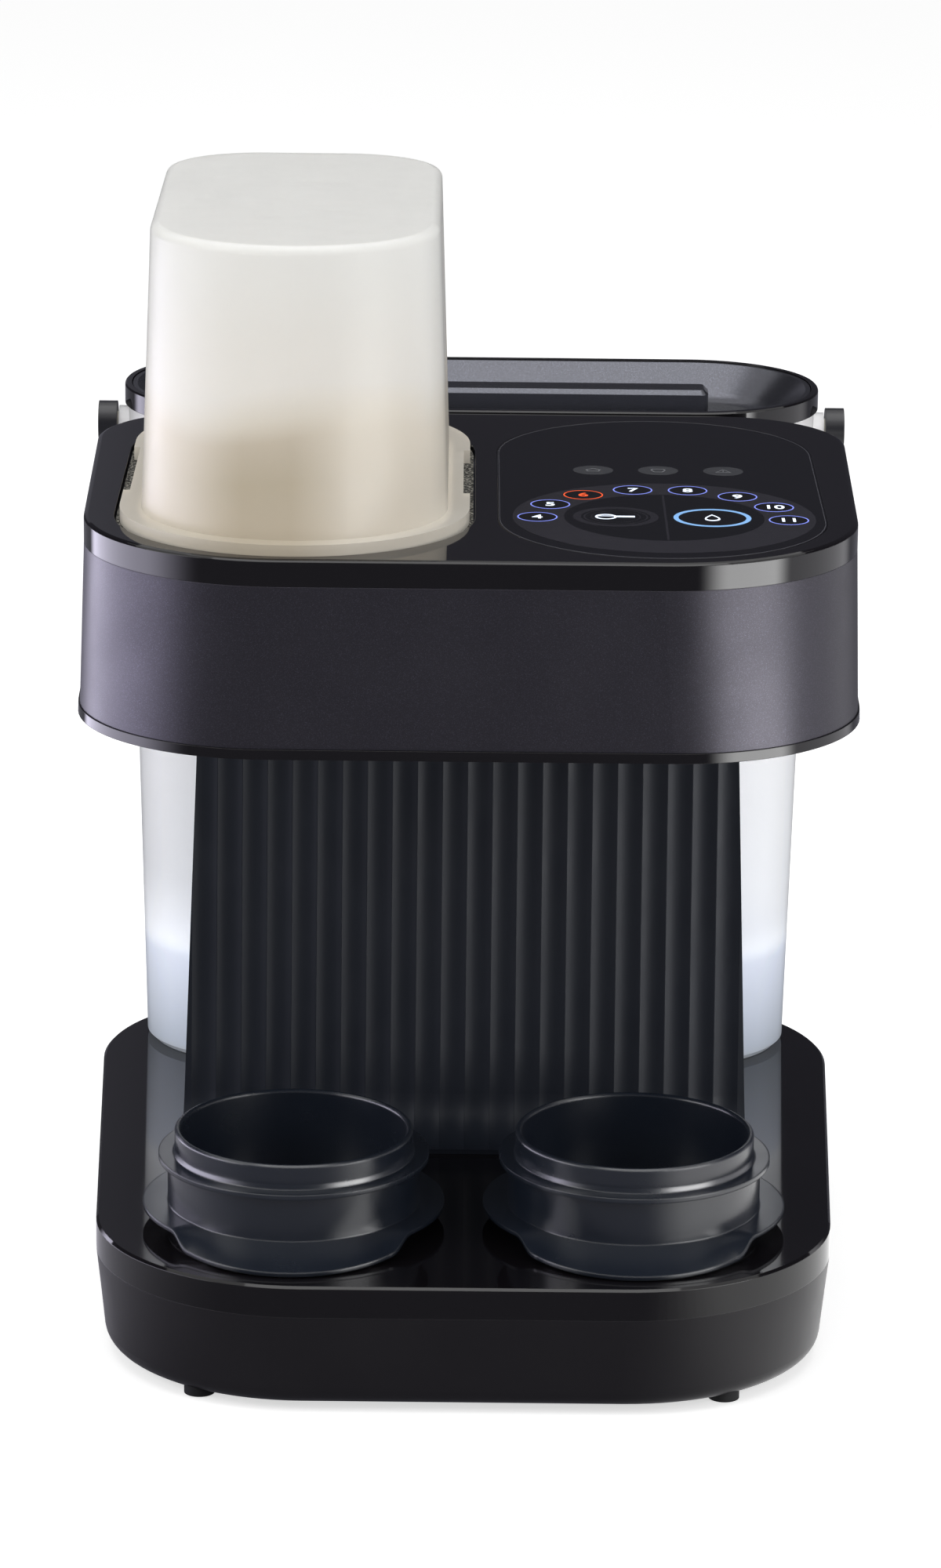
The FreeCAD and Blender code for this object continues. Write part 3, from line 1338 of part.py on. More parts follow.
def make_tank_body():
    """The tank: a tapered shell with an outlet boss in its floor and a boss for each ear."""
    body = new_body("tank_body")
    low, top, wall = tank_low(), size("tank_wall_top"), size("tank_wall")
    y, boss_top = size("bail_pivot_y"), size("boss_top")
    plan, lean, plate = tank_top_plan(), size("tank_lean"), boss_top - size("boss_plate")
    raise_leaning(body, "wall", plan, top, top - low, lean, downward=True)
    round_edges(body, edges_at(body.Shape, low.value)[:1], size("tank_edge"), kind="Chamfer")
    cut_leaning(body, "hollow", plan.inset(wall), top, top - low - wall, lean)
    raise_disc(body, "boss", 0, y, size("boss_radius"), low, boss_top)
    cut_disc(body, "socket", 0, y, size("socket_radius") + size("seal_half"), low, plate)
    cut_disc(body, "outlet", 0, y, size("valve_hole"), plate, boss_top)
    start = size("tank_half") - wall / 2.0
    length = size("bail_inner") - size("gap") * 2.0 - start
    for number, side in enumerate((-1.0, 1.0)):
        drawing = sketch(body, f"ear_boss{number}", role="YZ_Plane", level=side * start)
        circle(drawing, y, size("bail_pivot_z"), size("pin_radius") + size("ear_boss"))
        boss = body.newObject("PartDesign::Pad", f"ear_boss{number}_pad")
        boss.Profile = drawing
        boss.Reversed = side < 0
        finish_feature(boss, Length=length)


def make_tank_rim():
    """The glossy rim band, with a ledge inside that the lid rests on."""
    body = new_body("tank_rim")
    low = size("tank_wall_top")
    top, ledge = low + size("rim_high"), low + size("ledge_thick")
    raise_plan(body, "band", rim_plan(), low, top)
    cut_plan(body, "seat", rim_plan().inset(size("rim_wall")), ledge, top)
    cut_plan(body, "mouth", rim_plan().inset(size("rim_wall") + size("ledge_wide")), low, ledge)
    round_edges(body, edges_at(body.Shape, top.value)[:1], size("rim_edge"), kind="Chamfer")


def make_tank_lid():
    """The dished lid with a raised bar to lift it by."""
    body = new_body("tank_lid")
    rim_top = size("tank_wall_top") + size("rim_high")
    low = size("tank_wall_top") + size("ledge_thick") + size("gap")
    top, floor, thick = rim_top - size("gap"), size("dish_floor"), size("lid_thick")
    edge = size("rim_wall") + size("gap")
    neck = size("rim_wall") + size("ledge_wide") + size("gap")
    dish = edge + size("dish_edge")
    foot = dish + size("dish_slope")
    raise_plan(body, "flange", rim_plan().inset(edge), low, top)
    under = rim_plan().inset(foot - thick / 2.0)
    loft(body, "basin", [(low, rim_plan().inset(neck)), (floor - thick, under)])
    loft(body, "dish", [(top, rim_plan().inset(dish)), (floor, rim_plan().inset(foot))], cut=True)
    round_edges(body, edges_at(body.Shape, floor.value)[:1], size("dish_cove"))
    middle = (size("tank_front") + size("tank_rear")) / 2.0
    half, wide, corner = size("bar_half"), size("bar_wide") / 2.0, size("bar_corner")
    bar, bar_top = Plan(0, half, half, middle - wide, middle + wide, corner, corner), top - size("bar_below")
    raise_plan(body, "bar", bar, floor - thick / 4.0, bar_top)
    round_edges(body, edges_at(body.Shape, bar_top.value)[:1], size("bar_edge"), kind="Chamfer")


def make_tank_valve():
    """The socket on the deck, its seal, and the valve in the tank's floor with its cage."""
    deck, boss, gap = size("deck_top"), size("boss_top"), size("gap")
    x, y = 0, size("bail_pivot_y")
    radius, top, bore = size("socket_radius"), size("socket_top"), size("nozzle_bore")
    groove, half = (deck + top) / 2.0, size("seal_half")
    profile = [(bore, deck), (radius, deck), (radius, groove - half), (radius - half, groove - half),
               (radius - half, groove + half), (radius, groove + half), (radius, top), (bore, top)]
    turned("tank_socket", profile, x, y)
    slim, proud = half - size("snug") * 2.0, radius + size("seal_proud")
    turned("socket_seal", [(radius - half, groove - slim), (proud, groove - slim),
                           (proud, groove + slim), (radius - half, groove + slim)], x, y)
    pin, stem, plate = size("pin_thin"), size("stem_radius"), size("valve_head")
    head = boss + gap
    crown, guide = head + size("valve_thick"), head + size("valve_thick") + size("stem_high")
    turned("tank_valve", [(0, top + gap), (pin, top + gap), (pin, head), (plate, head), (plate, crown),
                          (stem, crown), (stem, guide + stem), (0, guide + stem)], x, y)
    wide, hole, roof = size("cage_radius"), size("cage_hole"), guide + gap
    inner = wide - size("cage_wall")
    cage = turned("valve_cage", [(inner, boss), (wide, boss), (wide, roof + size("cage_top")),
                                 (hole, roof + size("cage_top")), (hole, roof), (inner, roof)], x, y)
    side, sill = size("window_half"), crown + size("valve_lift")
    for name, role in (("window", "XZ_Plane"), ("cross_window", "YZ_Plane")):
        window = sketch(cage, name, role=role)
        box_outline(window, -side, side, sill, roof - size("cage_wall"))
        pocket(cage, window, wide * 3.0, both_ways=True)


def make_tank_handle():
    """The U-shaped bail, folded down behind the tank, and its two pivot pins."""
    body = new_body("tank_handle")
    inner, wide, deep = size("bail_inner"), size("bail_wide"), size("bail_deep")
    reach, corner = size("bail_reach"), size("bail_corner")
    outer_end = reach + wide / 2.0
    outside = Plan(0, inner + wide, inner + wide, -reach, outer_end, corner, corner)
    for name, plan, cut in (("outside", outside, False), ("inside", outside.inset(wide), True)):
        drawing = sketch(body, name)
        plan.draw(drawing)
        if cut:
            pocket(body, drawing, deep * 2.0, both_ways=True)
        else:
            pad_both_ways(body, drawing, deep)
    spare = sketch(body, "spare")
    box_outline(spare, -inner - wide * 2.0, inner + wide * 2.0, -reach - wide, 0)
    pocket(body, spare, deep * 2.0, both_ways=True)
    for number, side in enumerate((-1.0, 1.0)):
        drawing = sketch(body, f"ear{number}", role="YZ_Plane", level=side * inner)
        circle(drawing, 0, 0, size("ear_radius"))
        ear = body.newObject("PartDesign::Pad", f"ear{number}_pad")
        ear.Profile = drawing
        ear.Reversed = side < 0
        finish_feature(ear, Length=wide)
    drawing = sketch(body, "pin_hole", role="YZ_Plane")
    circle(drawing, 0, 0, size("pin_radius") + size("running"))
    pocket(body, drawing, (inner + wide) * 4.0, both_ways=True)
    body.setExpression("Placement.Rotation.Angle", (-size("bail_fold")).text)
    body.Placement.Rotation = FreeCAD.Rotation(V(1, 0, 0), -size("bail_fold").value)
    place(body, 0, size("bail_pivot_y"), size("bail_pivot_z"))
    pins = []
    start = inner - size("gap") * 2.0
    for number, side in enumerate((-1.0, 1.0)):
        low_x = start if side > 0 else -(start + wide)
        pin = primitive("Cylinder", f"pin_{number}", (low_x, size("bail_pivot_y"), size("bail_pivot_z")),
                        Radius=size("pin_radius"), Height=wide)
        pin.Placement.Rotation = FreeCAD.Rotation(V(0, 1, 0), 90)
        pins.append(pin)
    group_of("handle_pins", pins)


def check_document():
    """Stops if any object failed or any sub-part is not a valid shape."""
    for item in DOCUMENT.Objects:
        if "Invalid" in item.State or "Error" in item.State:
            raise RuntimeError(f"{item.Name} is {item.State}")
    for part in SUB_PARTS:
        if part.Shape.isNull() or not part.Shape.isValid() or not part.Shape.Solids:
            raise RuntimeError(f"{part.Label} has no valid shape")


def build():
    """Builds every sub-part and writes each to its own file."""
    fill_sheet()
    make_base_pan()
    make_base_deck()
    make_feet()
    make_mains_gland()
    make_holder("bottle_holder_left", -1.0)
    make_holder("bottle_holder_right", 1.0)
    make_flute_panel()
    make_column_shell()
    make_head_shell()
    make_top_panel()
    make_under_cover()
    make_touch_glass()
    make_hopper_well()
    make_hopper_tub()
    make_hopper_gasket()
    make_dosing_tray()
    make_metering_baffle()
    make_dosing_wheel()
    make_agitator()
    make_drive()
    make_powder_chute()
    make_nozzle()
    make_water_works()
    make_tubes()
    make_tank_body()
    make_tank_rim()
    make_tank_lid()
    make_tank_valve()
    make_tank_handle()
    DOCUMENT.recompute()
    check_document()
    os.makedirs("parts", exist_ok=True)
    for part in SUB_PARTS:
        part.Shape.exportStep(f"parts/{part.Label}.step")
    print(len(SUB_PARTS), "sub-parts written")


build()
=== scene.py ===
"""Countertop formula maker: finishes, printed touch symbols, contents and a small studio."""
import logging
import math
from collections.abc import Sequence
from dataclasses import dataclass
from enum import Enum

import bmesh
import bpy
from mathutils import Matrix, Vector


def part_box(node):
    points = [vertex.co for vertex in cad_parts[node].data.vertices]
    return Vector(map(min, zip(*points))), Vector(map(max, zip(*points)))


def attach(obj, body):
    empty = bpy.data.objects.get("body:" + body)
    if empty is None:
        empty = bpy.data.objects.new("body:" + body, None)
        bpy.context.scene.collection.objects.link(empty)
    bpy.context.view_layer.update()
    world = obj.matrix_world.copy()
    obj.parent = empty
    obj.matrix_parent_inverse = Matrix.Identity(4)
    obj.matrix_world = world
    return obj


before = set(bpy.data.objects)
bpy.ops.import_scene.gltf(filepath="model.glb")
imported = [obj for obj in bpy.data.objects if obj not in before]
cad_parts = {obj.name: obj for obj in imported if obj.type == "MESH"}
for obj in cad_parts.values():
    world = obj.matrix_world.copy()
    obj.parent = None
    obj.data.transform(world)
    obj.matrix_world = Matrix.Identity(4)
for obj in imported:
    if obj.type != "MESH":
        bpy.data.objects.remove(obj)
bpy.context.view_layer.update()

LOG = logging.getLogger("formula_maker")
MM = 0.001
MACHINE = "machine"

Rgba = tuple[float, float, float, float]
Stops = Sequence[tuple[float, Rgba]]
Socket = bpy.types.NodeSocket
Loop = list[bmesh.types.BMVert]

WHITE: Rgba = (1.0, 1.0, 1.0, 1.0)

# The curve between a display's values and linear light.
CURVE_KNEE, CURVE_SLOPE, CURVE_SHIFT, CURVE_POWER = 0.04045, 12.92, 0.055, 2.4


def colour(code: str) -> Rgba:
    """Turns a display colour into the linear values that a shader takes.

    Args:
        code: six hexadecimal digits, red first.

    Returns:
        Linear red, green, blue and a full alpha.
    """
    channels = []
    for start in (0, 2, 4):
        shown = int(code[start:start + 2], 16) / 255
        channels.append(shown / CURVE_SLOPE if shown <= CURVE_KNEE
                        else ((shown + CURVE_SHIFT) / (1 + CURVE_SHIFT)) ** CURVE_POWER)
    return (*channels, 1.0)


def greys(*stops: tuple[float, float]) -> Stops:
    """Ramp stops in linear greys, from positions and levels."""
    return [(position, (level, level, level, 1.0)) for position, level in stops]


# ---- node trees

class Tree:
    """A node tree, with short ways to add and join its nodes."""

    def __init__(self, tree: bpy.types.NodeTree) -> None:
        """Takes hold of the node tree of a material or of the world."""
        self.tree = tree

    def add(self, kind: str, *sources: Socket | float, **settings: object) -> bpy.types.Node:
        """Adds a node.

        Args:
            kind: the node's type.
            sources: what its first inputs get, in order: outputs of other nodes, or numbers.
            settings: values for its properties, or for its inputs by name with _ for a space.

        Returns:
            The new node.
        """
        node = self.tree.nodes.new(kind)
        for source, target in zip(sources, node.inputs):
            if isinstance(source, Socket):
                self.join(source, target)
            else:
                target.default_value = source
        for key, value in settings.items():
            if hasattr(node, key):
                setattr(node, key, value)
            else:
                node.inputs[key.replace("_", " ")].default_value = value
        return node

    def join(self, start: Socket, end: Socket) -> None:
        """Links an output to an input."""
        self.tree.links.new(start, end)

    def maths(self, operation: str, first: Socket, second: Socket | float) -> Socket:
        """Works out one value from two, by an operation such as ADD."""
        return self.add("ShaderNodeMath", first, second, operation=operation).outputs[0]

    def seen_directly(self, strength: float) -> Socket:
        """A strength for rays that show the background, and none for those that light the machine.

        Args:
            strength: what those rays get.

        Returns:
            The strength.
        """
        path = self.add("ShaderNodeLightPath")
        total = path.outputs["Is Camera Ray"]
        for name in ("Is Glossy Ray", "Is Transmission Ray"):
            total = self.maths("MAXIMUM", total, path.outputs[name])
        return self.maths("MULTIPLY", total, strength)


class Shader(Tree):
    """A material's node tree, with its Principled shader and short ways to feed it."""

    def __init__(self, name: str) -> None:
        """Makes the material.

        Args:
            name: the material's name.
        """
        self.material = bpy.data.materials.new(name)
        self.material.use_nodes = True
        super().__init__(self.material.node_tree)
        self.surface = self.tree.nodes["Principled BSDF"]
        self.place = self.add("ShaderNodeTexCoord").outputs["Object"]

    def set(self, **values: object) -> None:
        """Sets inputs of the Principled shader, with _ for a space in their names."""
        for key, value in values.items():
            self.surface.inputs[key.replace("_", " ")].default_value = value

    def drive(self, name: str, source: Socket) -> None:
        """Feeds one input of the Principled shader."""
        self.join(source, self.surface.inputs[name])

    def noise(self, size_mm: float, detail: float = 3.0, stretch: Vector | None = None) -> Socket:
        """A cloudy pattern.

        Args:
            size_mm: size of a typical cloud.
            detail: number of finer layers.
            stretch: scale along each axis, for a directional pattern.

        Returns:
            The pattern's value, about 0.3 to 0.7.
        """
        place = self.place
        if stretch is not None:
            place = self.add("ShaderNodeMapping", place, Scale=stretch).outputs["Vector"]
        scale = 1.0 / (size_mm * MM)
        return self.add("ShaderNodeTexNoise", place, Scale=scale, Detail=detail).outputs["Fac"]

    def spread(self, source: Socket, low: float, high: float,
               start: float = 0.3, end: float = 0.7) -> Socket:
        """A pattern's value, stretched so that start gives low and end gives high."""
        return self.add("ShaderNodeMapRange", source, start, end, low, high).outputs["Result"]

    def ramp(self, source: Socket, stops: Stops) -> Socket:
        """Turns a value into a colour.

        Args:
            source: the value, 0 to 1.
            stops: positions and their linear colours.

        Returns:
            The colour.
        """
        node = self.add("ShaderNodeValToRGB", source)
        elements = node.color_ramp.elements
        while len(elements) < len(stops):
            elements.new(0.5)
        for element, (position, value) in zip(elements, stops):
            element.position = position
            element.color = value
        return node.outputs["Color"]

    def turned_away(self, stops: Stops) -> Socket:
        """A colour that changes as the surface turns from the eye, 0 facing it and 1 edge on."""
        weight = self.add("ShaderNodeLayerWeight", Blend=0.5)
        return self.ramp(weight.outputs["Facing"], stops)

    def times(self, first: Socket, second: Socket) -> Socket:
        """Two colours multiplied."""
        return self.add("ShaderNodeVectorMath", first, second, operation="MULTIPLY").outputs[0]

    def blend(self, share: Socket, first: Socket, second: Socket) -> Socket:
        """A colour that passes from the first at share 0 into the second at share 1."""
        return self.add("ShaderNodeMixRGB", share, first, second).outputs[0]

    def along(self, axis: str) -> Socket:
        """The surface's place along an axis of its body, in metres, with Z up from the table."""
        return self.add("ShaderNodeSeparateXYZ", self.place).outputs[axis]

    def by_height(self, low: float, high: float, stops: Sequence[tuple[float, str]],
                  waves: float = 0.0) -> Socket:
        """A colour that changes with height.

        Args:
            low: height at which it starts.
            high: height at which it ends.
            stops: heights over the table in millimetres, and display colours.
            waves: how far slow waves move it up and down.

        Returns:
            The colour.
        """
        level = self.along("Z")
        if waves:
            drift = self.spread(self.noise(size_mm=60.0, detail=1.0), -waves, waves)
            level = self.maths("ADD", level, drift)
        share = self.spread(level, 0.0, 1.0, low, high)
        return self.ramp(share, [((stop * MM - low) / (high - low), colour(code))
                                 for stop, code in stops])

    def relief(self, source: Socket, depth_mm: float, strength: float = 1.0,
               edge_mm: float = 0.0) -> None:
        """Gives the surface a fine relief, and softens its sharp edges.

        Args:
            source: the pattern of the relief.
            depth_mm: its depth.
            strength: how much of it shows.
            edge_mm: rounding of sharp edges, or 0 for none.
        """
        bump = self.add("ShaderNodeBump", Strength=strength, Distance=depth_mm * MM)
        self.join(source, bump.inputs["Height"])
        if edge_mm:
            bevel = self.add("ShaderNodeBevel", samples=4, Radius=edge_mm * MM)
            self.join(bevel.outputs["Normal"], bump.inputs["Normal"])
        self.drive("Normal", bump.outputs["Normal"])

    def mottle(self, code: str, size_mm: float, amount: float) -> None:
        """Lets the base colour drift a little over the surface.

        Args:
            code: the middle colour.
            size_mm: size of the drift.
            amount: share that it gets lighter and darker.
        """
        red, green, blue, alpha = colour(code)
        dark, light = ((red * part, green * part, blue * part, alpha)
                       for part in (1 - amount, 1 + amount))
        self.drive("Base Color", self.ramp(self.noise(size_mm), [(0.3, dark), (0.7, light)]))


# ---- finishes

@dataclass(frozen=True)
class Look:
    """What every kind of finish has: a name, and a way to build its material."""

    name: str

    def material(self) -> bpy.types.Material:
        """Builds the material.

        Returns:
            The new material.
        """
        shader = Shader(self.name)
        self.feed(shader)
        return shader.material

    def feed(self, shader: Shader) -> None:
        """Feeds a new material's shader, in the way of each kind of finish."""
        raise NotImplementedError


@dataclass(frozen=True)
class MouldedPlastic(Look):
    """Plastic from a spark-eroded tool: an even fine grain, matte to satin."""

    code: str
    roughness: float = 0.42
    grain_mm: float = 0.45
    grain_depth_mm: float = 0.012
    specular: float = 0.4
    edge_mm: float = 0.3

    def feed(self, shader: Shader) -> None:
        """Feeds a drifting colour and gloss, and the grain.

        Args:
            shader: the new material's shader.
        """
        shader.mottle(self.code, size_mm=35.0, amount=0.06)
        shader.drive("Roughness", shader.spread(shader.noise(size_mm=18.0),
                                                self.roughness - 0.03, self.roughness + 0.04))
        shader.set(Specular_IOR_Level=self.specular)
        shader.relief(shader.noise(self.grain_mm, detail=2.0), self.grain_depth_mm,
                      strength=0.5, edge_mm=self.edge_mm)


@dataclass(frozen=True)
class PolishedPlastic(Look):
    """Plastic from a mirror-polished tool, with faint wipe marks."""

    code: str
    roughness: float = 0.05
    specular: float = 0.45
    edge_mm: float = 0.25

    def feed(self, shader: Shader) -> None:
        """Feeds the colour, the wipe marks and a slight unevenness.

        Args:
            shader: the new material's shader.
        """
        shader.mottle(self.code, size_mm=60.0, amount=0.05)
        wipes = shader.noise(size_mm=9.0, detail=4.0, stretch=Vector((1.0, 0.25, 1.0)))
        shader.drive("Roughness", shader.spread(wipes, self.roughness, self.roughness + 0.035,
                                                start=0.45, end=0.8))
        shader.set(Specular_IOR_Level=self.specular)
        shader.relief(shader.noise(size_mm=28.0, detail=1.0), depth_mm=0.006,
                      strength=0.4, edge_mm=self.edge_mm)


@dataclass(frozen=True)
class FlakeLacquer(Look):
    """Satin lacquer with a fine metallic flake."""

    code: str
    flake_mm: float = 0.16
    roughness: float = 0.36
    metallic: float = 0.55

    def feed(self, shader: Shader) -> None:
        """Feeds flakes that each have their own brightness and tilt.

        Args:
            shader: the new material's shader.
        """
        flakes = shader.add("ShaderNodeTexVoronoi", shader.place, Scale=1.0 / (self.flake_mm * MM))
        spot = shader.add("ShaderNodeSeparateColor", flakes.outputs["Color"])
        red, green, blue, alpha = colour(self.code)
        dull = (red * 0.8, green * 0.8, blue * 0.8, alpha)
        bright = (red * 1.7, green * 1.7, blue * 1.8, alpha)
        stops = [(0.0, dull), (0.85, (red, green, blue, alpha)), (1.0, bright)]
        shader.drive("Base Color", shader.ramp(spot.outputs["Red"], stops))
        shader.drive("Roughness", shader.spread(shader.noise(size_mm=25.0),
                                                self.roughness - 0.03, self.roughness + 0.04))
        shader.set(Metallic=self.metallic, Specular_IOR_Level=0.5)
        shader.relief(spot.outputs["Green"], depth_mm=0.004, strength=0.25, edge_mm=0.3)


@dataclass(frozen=True)
class FrostedPlastic(Look):
    """Clear plastic with a frosted surface, which shows what is behind it as a soft shape."""

    code: str
    roughness: float = 0.45
    transmission: float = 0.6

    def feed(self, shader: Shader) -> None:
        """Feeds a milky see-through body with a frosted skin.

        Args:
            shader: the new material's shader.
        """
        shader.mottle(self.code, size_mm=30.0, amount=0.015)
        shader.drive("Roughness", shader.spread(shader.noise(size_mm=12.0),
                                                self.roughness - 0.03, self.roughness + 0.05))
        shader.set(Transmission_Weight=self.transmission, IOR=1.35, Specular_IOR_Level=0.35)
        shader.relief(shader.noise(size_mm=0.35, detail=2.0), depth_mm=0.01,
                      strength=0.4, edge_mm=0.4)


@dataclass(frozen=True)
class HopperPlastic(Look):
    """Frosted plastic with powder dust on its lower part, a band of painted shade, painted shade at
    its edges and a painted glow.
    """

    low: float
    high: float
    # left and right: where the band of painted shade runs across the tub.
    left: float
    right: float

    # The dust tint by height, in a lit copy and a copy in painted shade.
    LIT_DUST = ((268, "efe9de"), (282, "f3efe6"), (302, "f4f0e7"),
            (308, "f4f1ea"), (316, "f6f5f2"), (360, "f5f5f3"))
    SHADED_DUST = ((268, "dad1c0"), (290, "d2c9b6"), (303, "dbd3c4"),
             (309, "ece8df"), (317, "f6f5f2"), (360, "f5f5f3"))
    # Share of painted shade across the tub, deepest in a band towards the left.
    SHADE_ACROSS = greys((0.0, 0.05), (0.12, 0.2), (0.36, 1.0), (0.5, 0.95), (0.66, 0.15), (1.0, 0.1))
    # Painted shade that darkens the wall where it turns edge on.
    EDGE_SHADE = greys((0.0, 0.96), (0.55, 1.0), (0.8, 0.94), (1.0, 0.62))

    def feed(self, shader: Shader) -> None:
        """Feeds a dust tint by height, darkened by painted shade in a band towards the left and
        where the wall turns edge on, and shown again as a painted glow.

        Args:
            shader: the new material's shader.
        """
        lit_dust = shader.by_height(self.low, self.high, self.LIT_DUST, waves=8 * MM)
        shaded_dust = shader.by_height(self.low, self.high, self.SHADED_DUST, waves=6 * MM)
        across = shader.spread(shader.along("X"), 0.0, 1.0, self.left, self.right)
        tint = shader.blend(shader.ramp(across, self.SHADE_ACROSS), lit_dust, shaded_dust)
        shown = shader.times(tint, shader.turned_away(self.EDGE_SHADE))
        shader.drive("Base Color", shown)
        # The tinted colour also glows: a painted glow of light coming through the wall.
        shader.drive("Emission Color", shown)
        shader.drive("Roughness", shader.spread(shader.noise(size_mm=12.0), 0.32, 0.4))
        shader.set(Transmission_Weight=0.4, IOR=1.35, Specular_IOR_Level=0.35,
                   Emission_Strength=0.10)
        shader.relief(shader.noise(size_mm=1.2, detail=2.0), depth_mm=0.006, strength=0.3)


@dataclass(frozen=True)
class LitTankPlastic(Look):
    """Frosted tank wall with a painted glow for the lamp behind it and the water inside, and
    painted side light.
    """

    water_level: float
    floor: float
    top: float
    half_width: float = 90 * MM

    # Painted shade that darkens the wall where it turns edge on.
    EDGE_SHADE = greys((0.0, 1.0), (0.4, 1.0), (0.75, 0.8), (1.0, 0.45))

    def feed(self, shader: Shader) -> None:
        """Feeds a wall whose painted glow is strongest at the water's level, with painted side
        light that is brighter on the right.

        Args:
            shader: the new material's shader.
        """
        water = self.water_level / MM
        tint = shader.by_height(self.floor, self.top, [
            (45, "c3ccd9"), (water - 3, "dfe5ee"), (water + 2, "f6f7f9"), (260, "efeeee")])
        # Painted glow, strongest at the water's level. Above the water the right copy stays
        # brighter than the left, as painted side light.
        lamp = [(45, "6a6b6c"), (water - 3, "838388"), (water, "8d8f92"), (water + 9, "77787b")]
        left = shader.by_height(self.floor, self.top,
                                lamp + [(water + 24, "545557"), (260, "4e4e50")])
        right = shader.by_height(self.floor, self.top,
                                 lamp + [(water + 24, "77787a"), (260, "767677")])
        # Painted side light: across the tank the glow passes from the left copy into the brighter
        # right one.
        across = shader.spread(shader.along("X"), 0.0, 1.0, -self.half_width, self.half_width)
        edge = shader.turned_away(self.EDGE_SHADE)
        shader.drive("Base Color", shader.times(tint, edge))
        shader.drive("Emission Color", shader.times(shader.blend(across, left, right), edge))
        shader.set(Emission_Strength=1.0, Transmission_Weight=0.35, IOR=1.35,
                   Specular_IOR_Level=0.3)
        shader.drive("Roughness", shader.spread(shader.noise(size_mm=12.0), 0.4, 0.48))
        shader.relief(shader.noise(size_mm=0.35, detail=2.0), depth_mm=0.01, strength=0.4)


@dataclass(frozen=True)
class SoftRubber(Look):
    """Dull rubber with a dusty bloom and, where wanted, pale specks."""

    code: str
    speck_code: str = ""
    speck_mm: float = 0.9

    def feed(self, shader: Shader) -> None:
        """Feeds the bloom or the specks, and a dull skin.

        Args:
            shader: the new material's shader.
        """
        if self.speck_code:
            specks = shader.noise(self.speck_mm, detail=2.0)
            stops = [(0.52, colour(self.code)), (0.6, colour(self.speck_code))]
            shader.drive("Base Color", shader.ramp(specks, stops))
        else:
            shader.mottle(self.code, size_mm=6.0, amount=0.15)
        shader.drive("Roughness", shader.spread(shader.noise(size_mm=4.0), 0.7, 0.85))
        shader.set(Specular_IOR_Level=0.3)
        shader.relief(shader.noise(size_mm=0.6), depth_mm=0.03, strength=0.5, edge_mm=0.3)


@dataclass(frozen=True)
class BrushedMetal(Look):
    """Drawn or brushed metal, with its lines running upright."""

    code: str
    roughness: float = 0.32

    def feed(self, shader: Shader) -> None:
        """Feeds the lines, in gloss and in relief.

        Args:
            shader: the new material's shader.
        """
        lines = shader.noise(size_mm=0.4, stretch=Vector((1.0, 1.0, 0.04)))
        shader.mottle(self.code, size_mm=12.0, amount=0.08)
        shader.drive("Roughness", shader.spread(lines, self.roughness - 0.06,
                                                self.roughness + 0.1))
        shader.set(Metallic=1.0)
        shader.relief(lines, depth_mm=0.008, strength=0.4, edge_mm=0.3)


@dataclass(frozen=True)
class Ink(Look):
    """Ink behind polished glass, which may be lit from below."""

    code: str
    glow: float = 0.0
    roughness: float = 0.08

    def feed(self, shader: Shader) -> None:
        """Feeds the ink's colour, the gloss over it and its light.

        Args:
            shader: the new material's shader.
        """
        shader.mottle(self.code, size_mm=3.0, amount=0.08)
        shader.drive("Roughness", shader.spread(shader.noise(size_mm=9.0), self.roughness,
                                                self.roughness + 0.03, start=0.45, end=0.8))
        shader.set(Specular_IOR_Level=0.4)
        if self.glow:
            shader.set(Emission_Color=colour(self.code), Emission_Strength=self.glow)


@dataclass(frozen=True)
class MilkPowder(Look):
    """Fine pale powder with small lumps."""

    code: str
    glow: float = 0.15

    def feed(self, shader: Shader) -> None:
        """Feeds a matt powder, lifted a little by the light that its frosted tub lets through.

        Args:
            shader: the new material's shader.
        """
        shader.mottle(self.code, size_mm=7.0, amount=0.08)
        shader.set(Roughness=0.95, Specular_IOR_Level=0.1, Emission_Color=colour(self.code),
                   Emission_Strength=self.glow)
        shader.relief(shader.noise(size_mm=1.2, detail=5.0), depth_mm=0.5, strength=0.7)


@dataclass(frozen=True)
class StillWater(Look):
    """Water with a bluish cast from the lamp behind it."""

    code: str
    glow: float = 0.15

    def feed(self, shader: Shader) -> None:
        """Feeds clear water with a faint glow and an almost level top.

        Args:
            shader: the new material's shader.
        """
        shader.mottle(self.code, size_mm=50.0, amount=0.03)
        shader.set(Roughness=0.08, IOR=1.33, Transmission_Weight=0.75,
                   Emission_Color=colour(self.code), Emission_Strength=self.glow)
        shader.relief(shader.noise(size_mm=22.0, detail=1.0), depth_mm=0.3, strength=0.3)


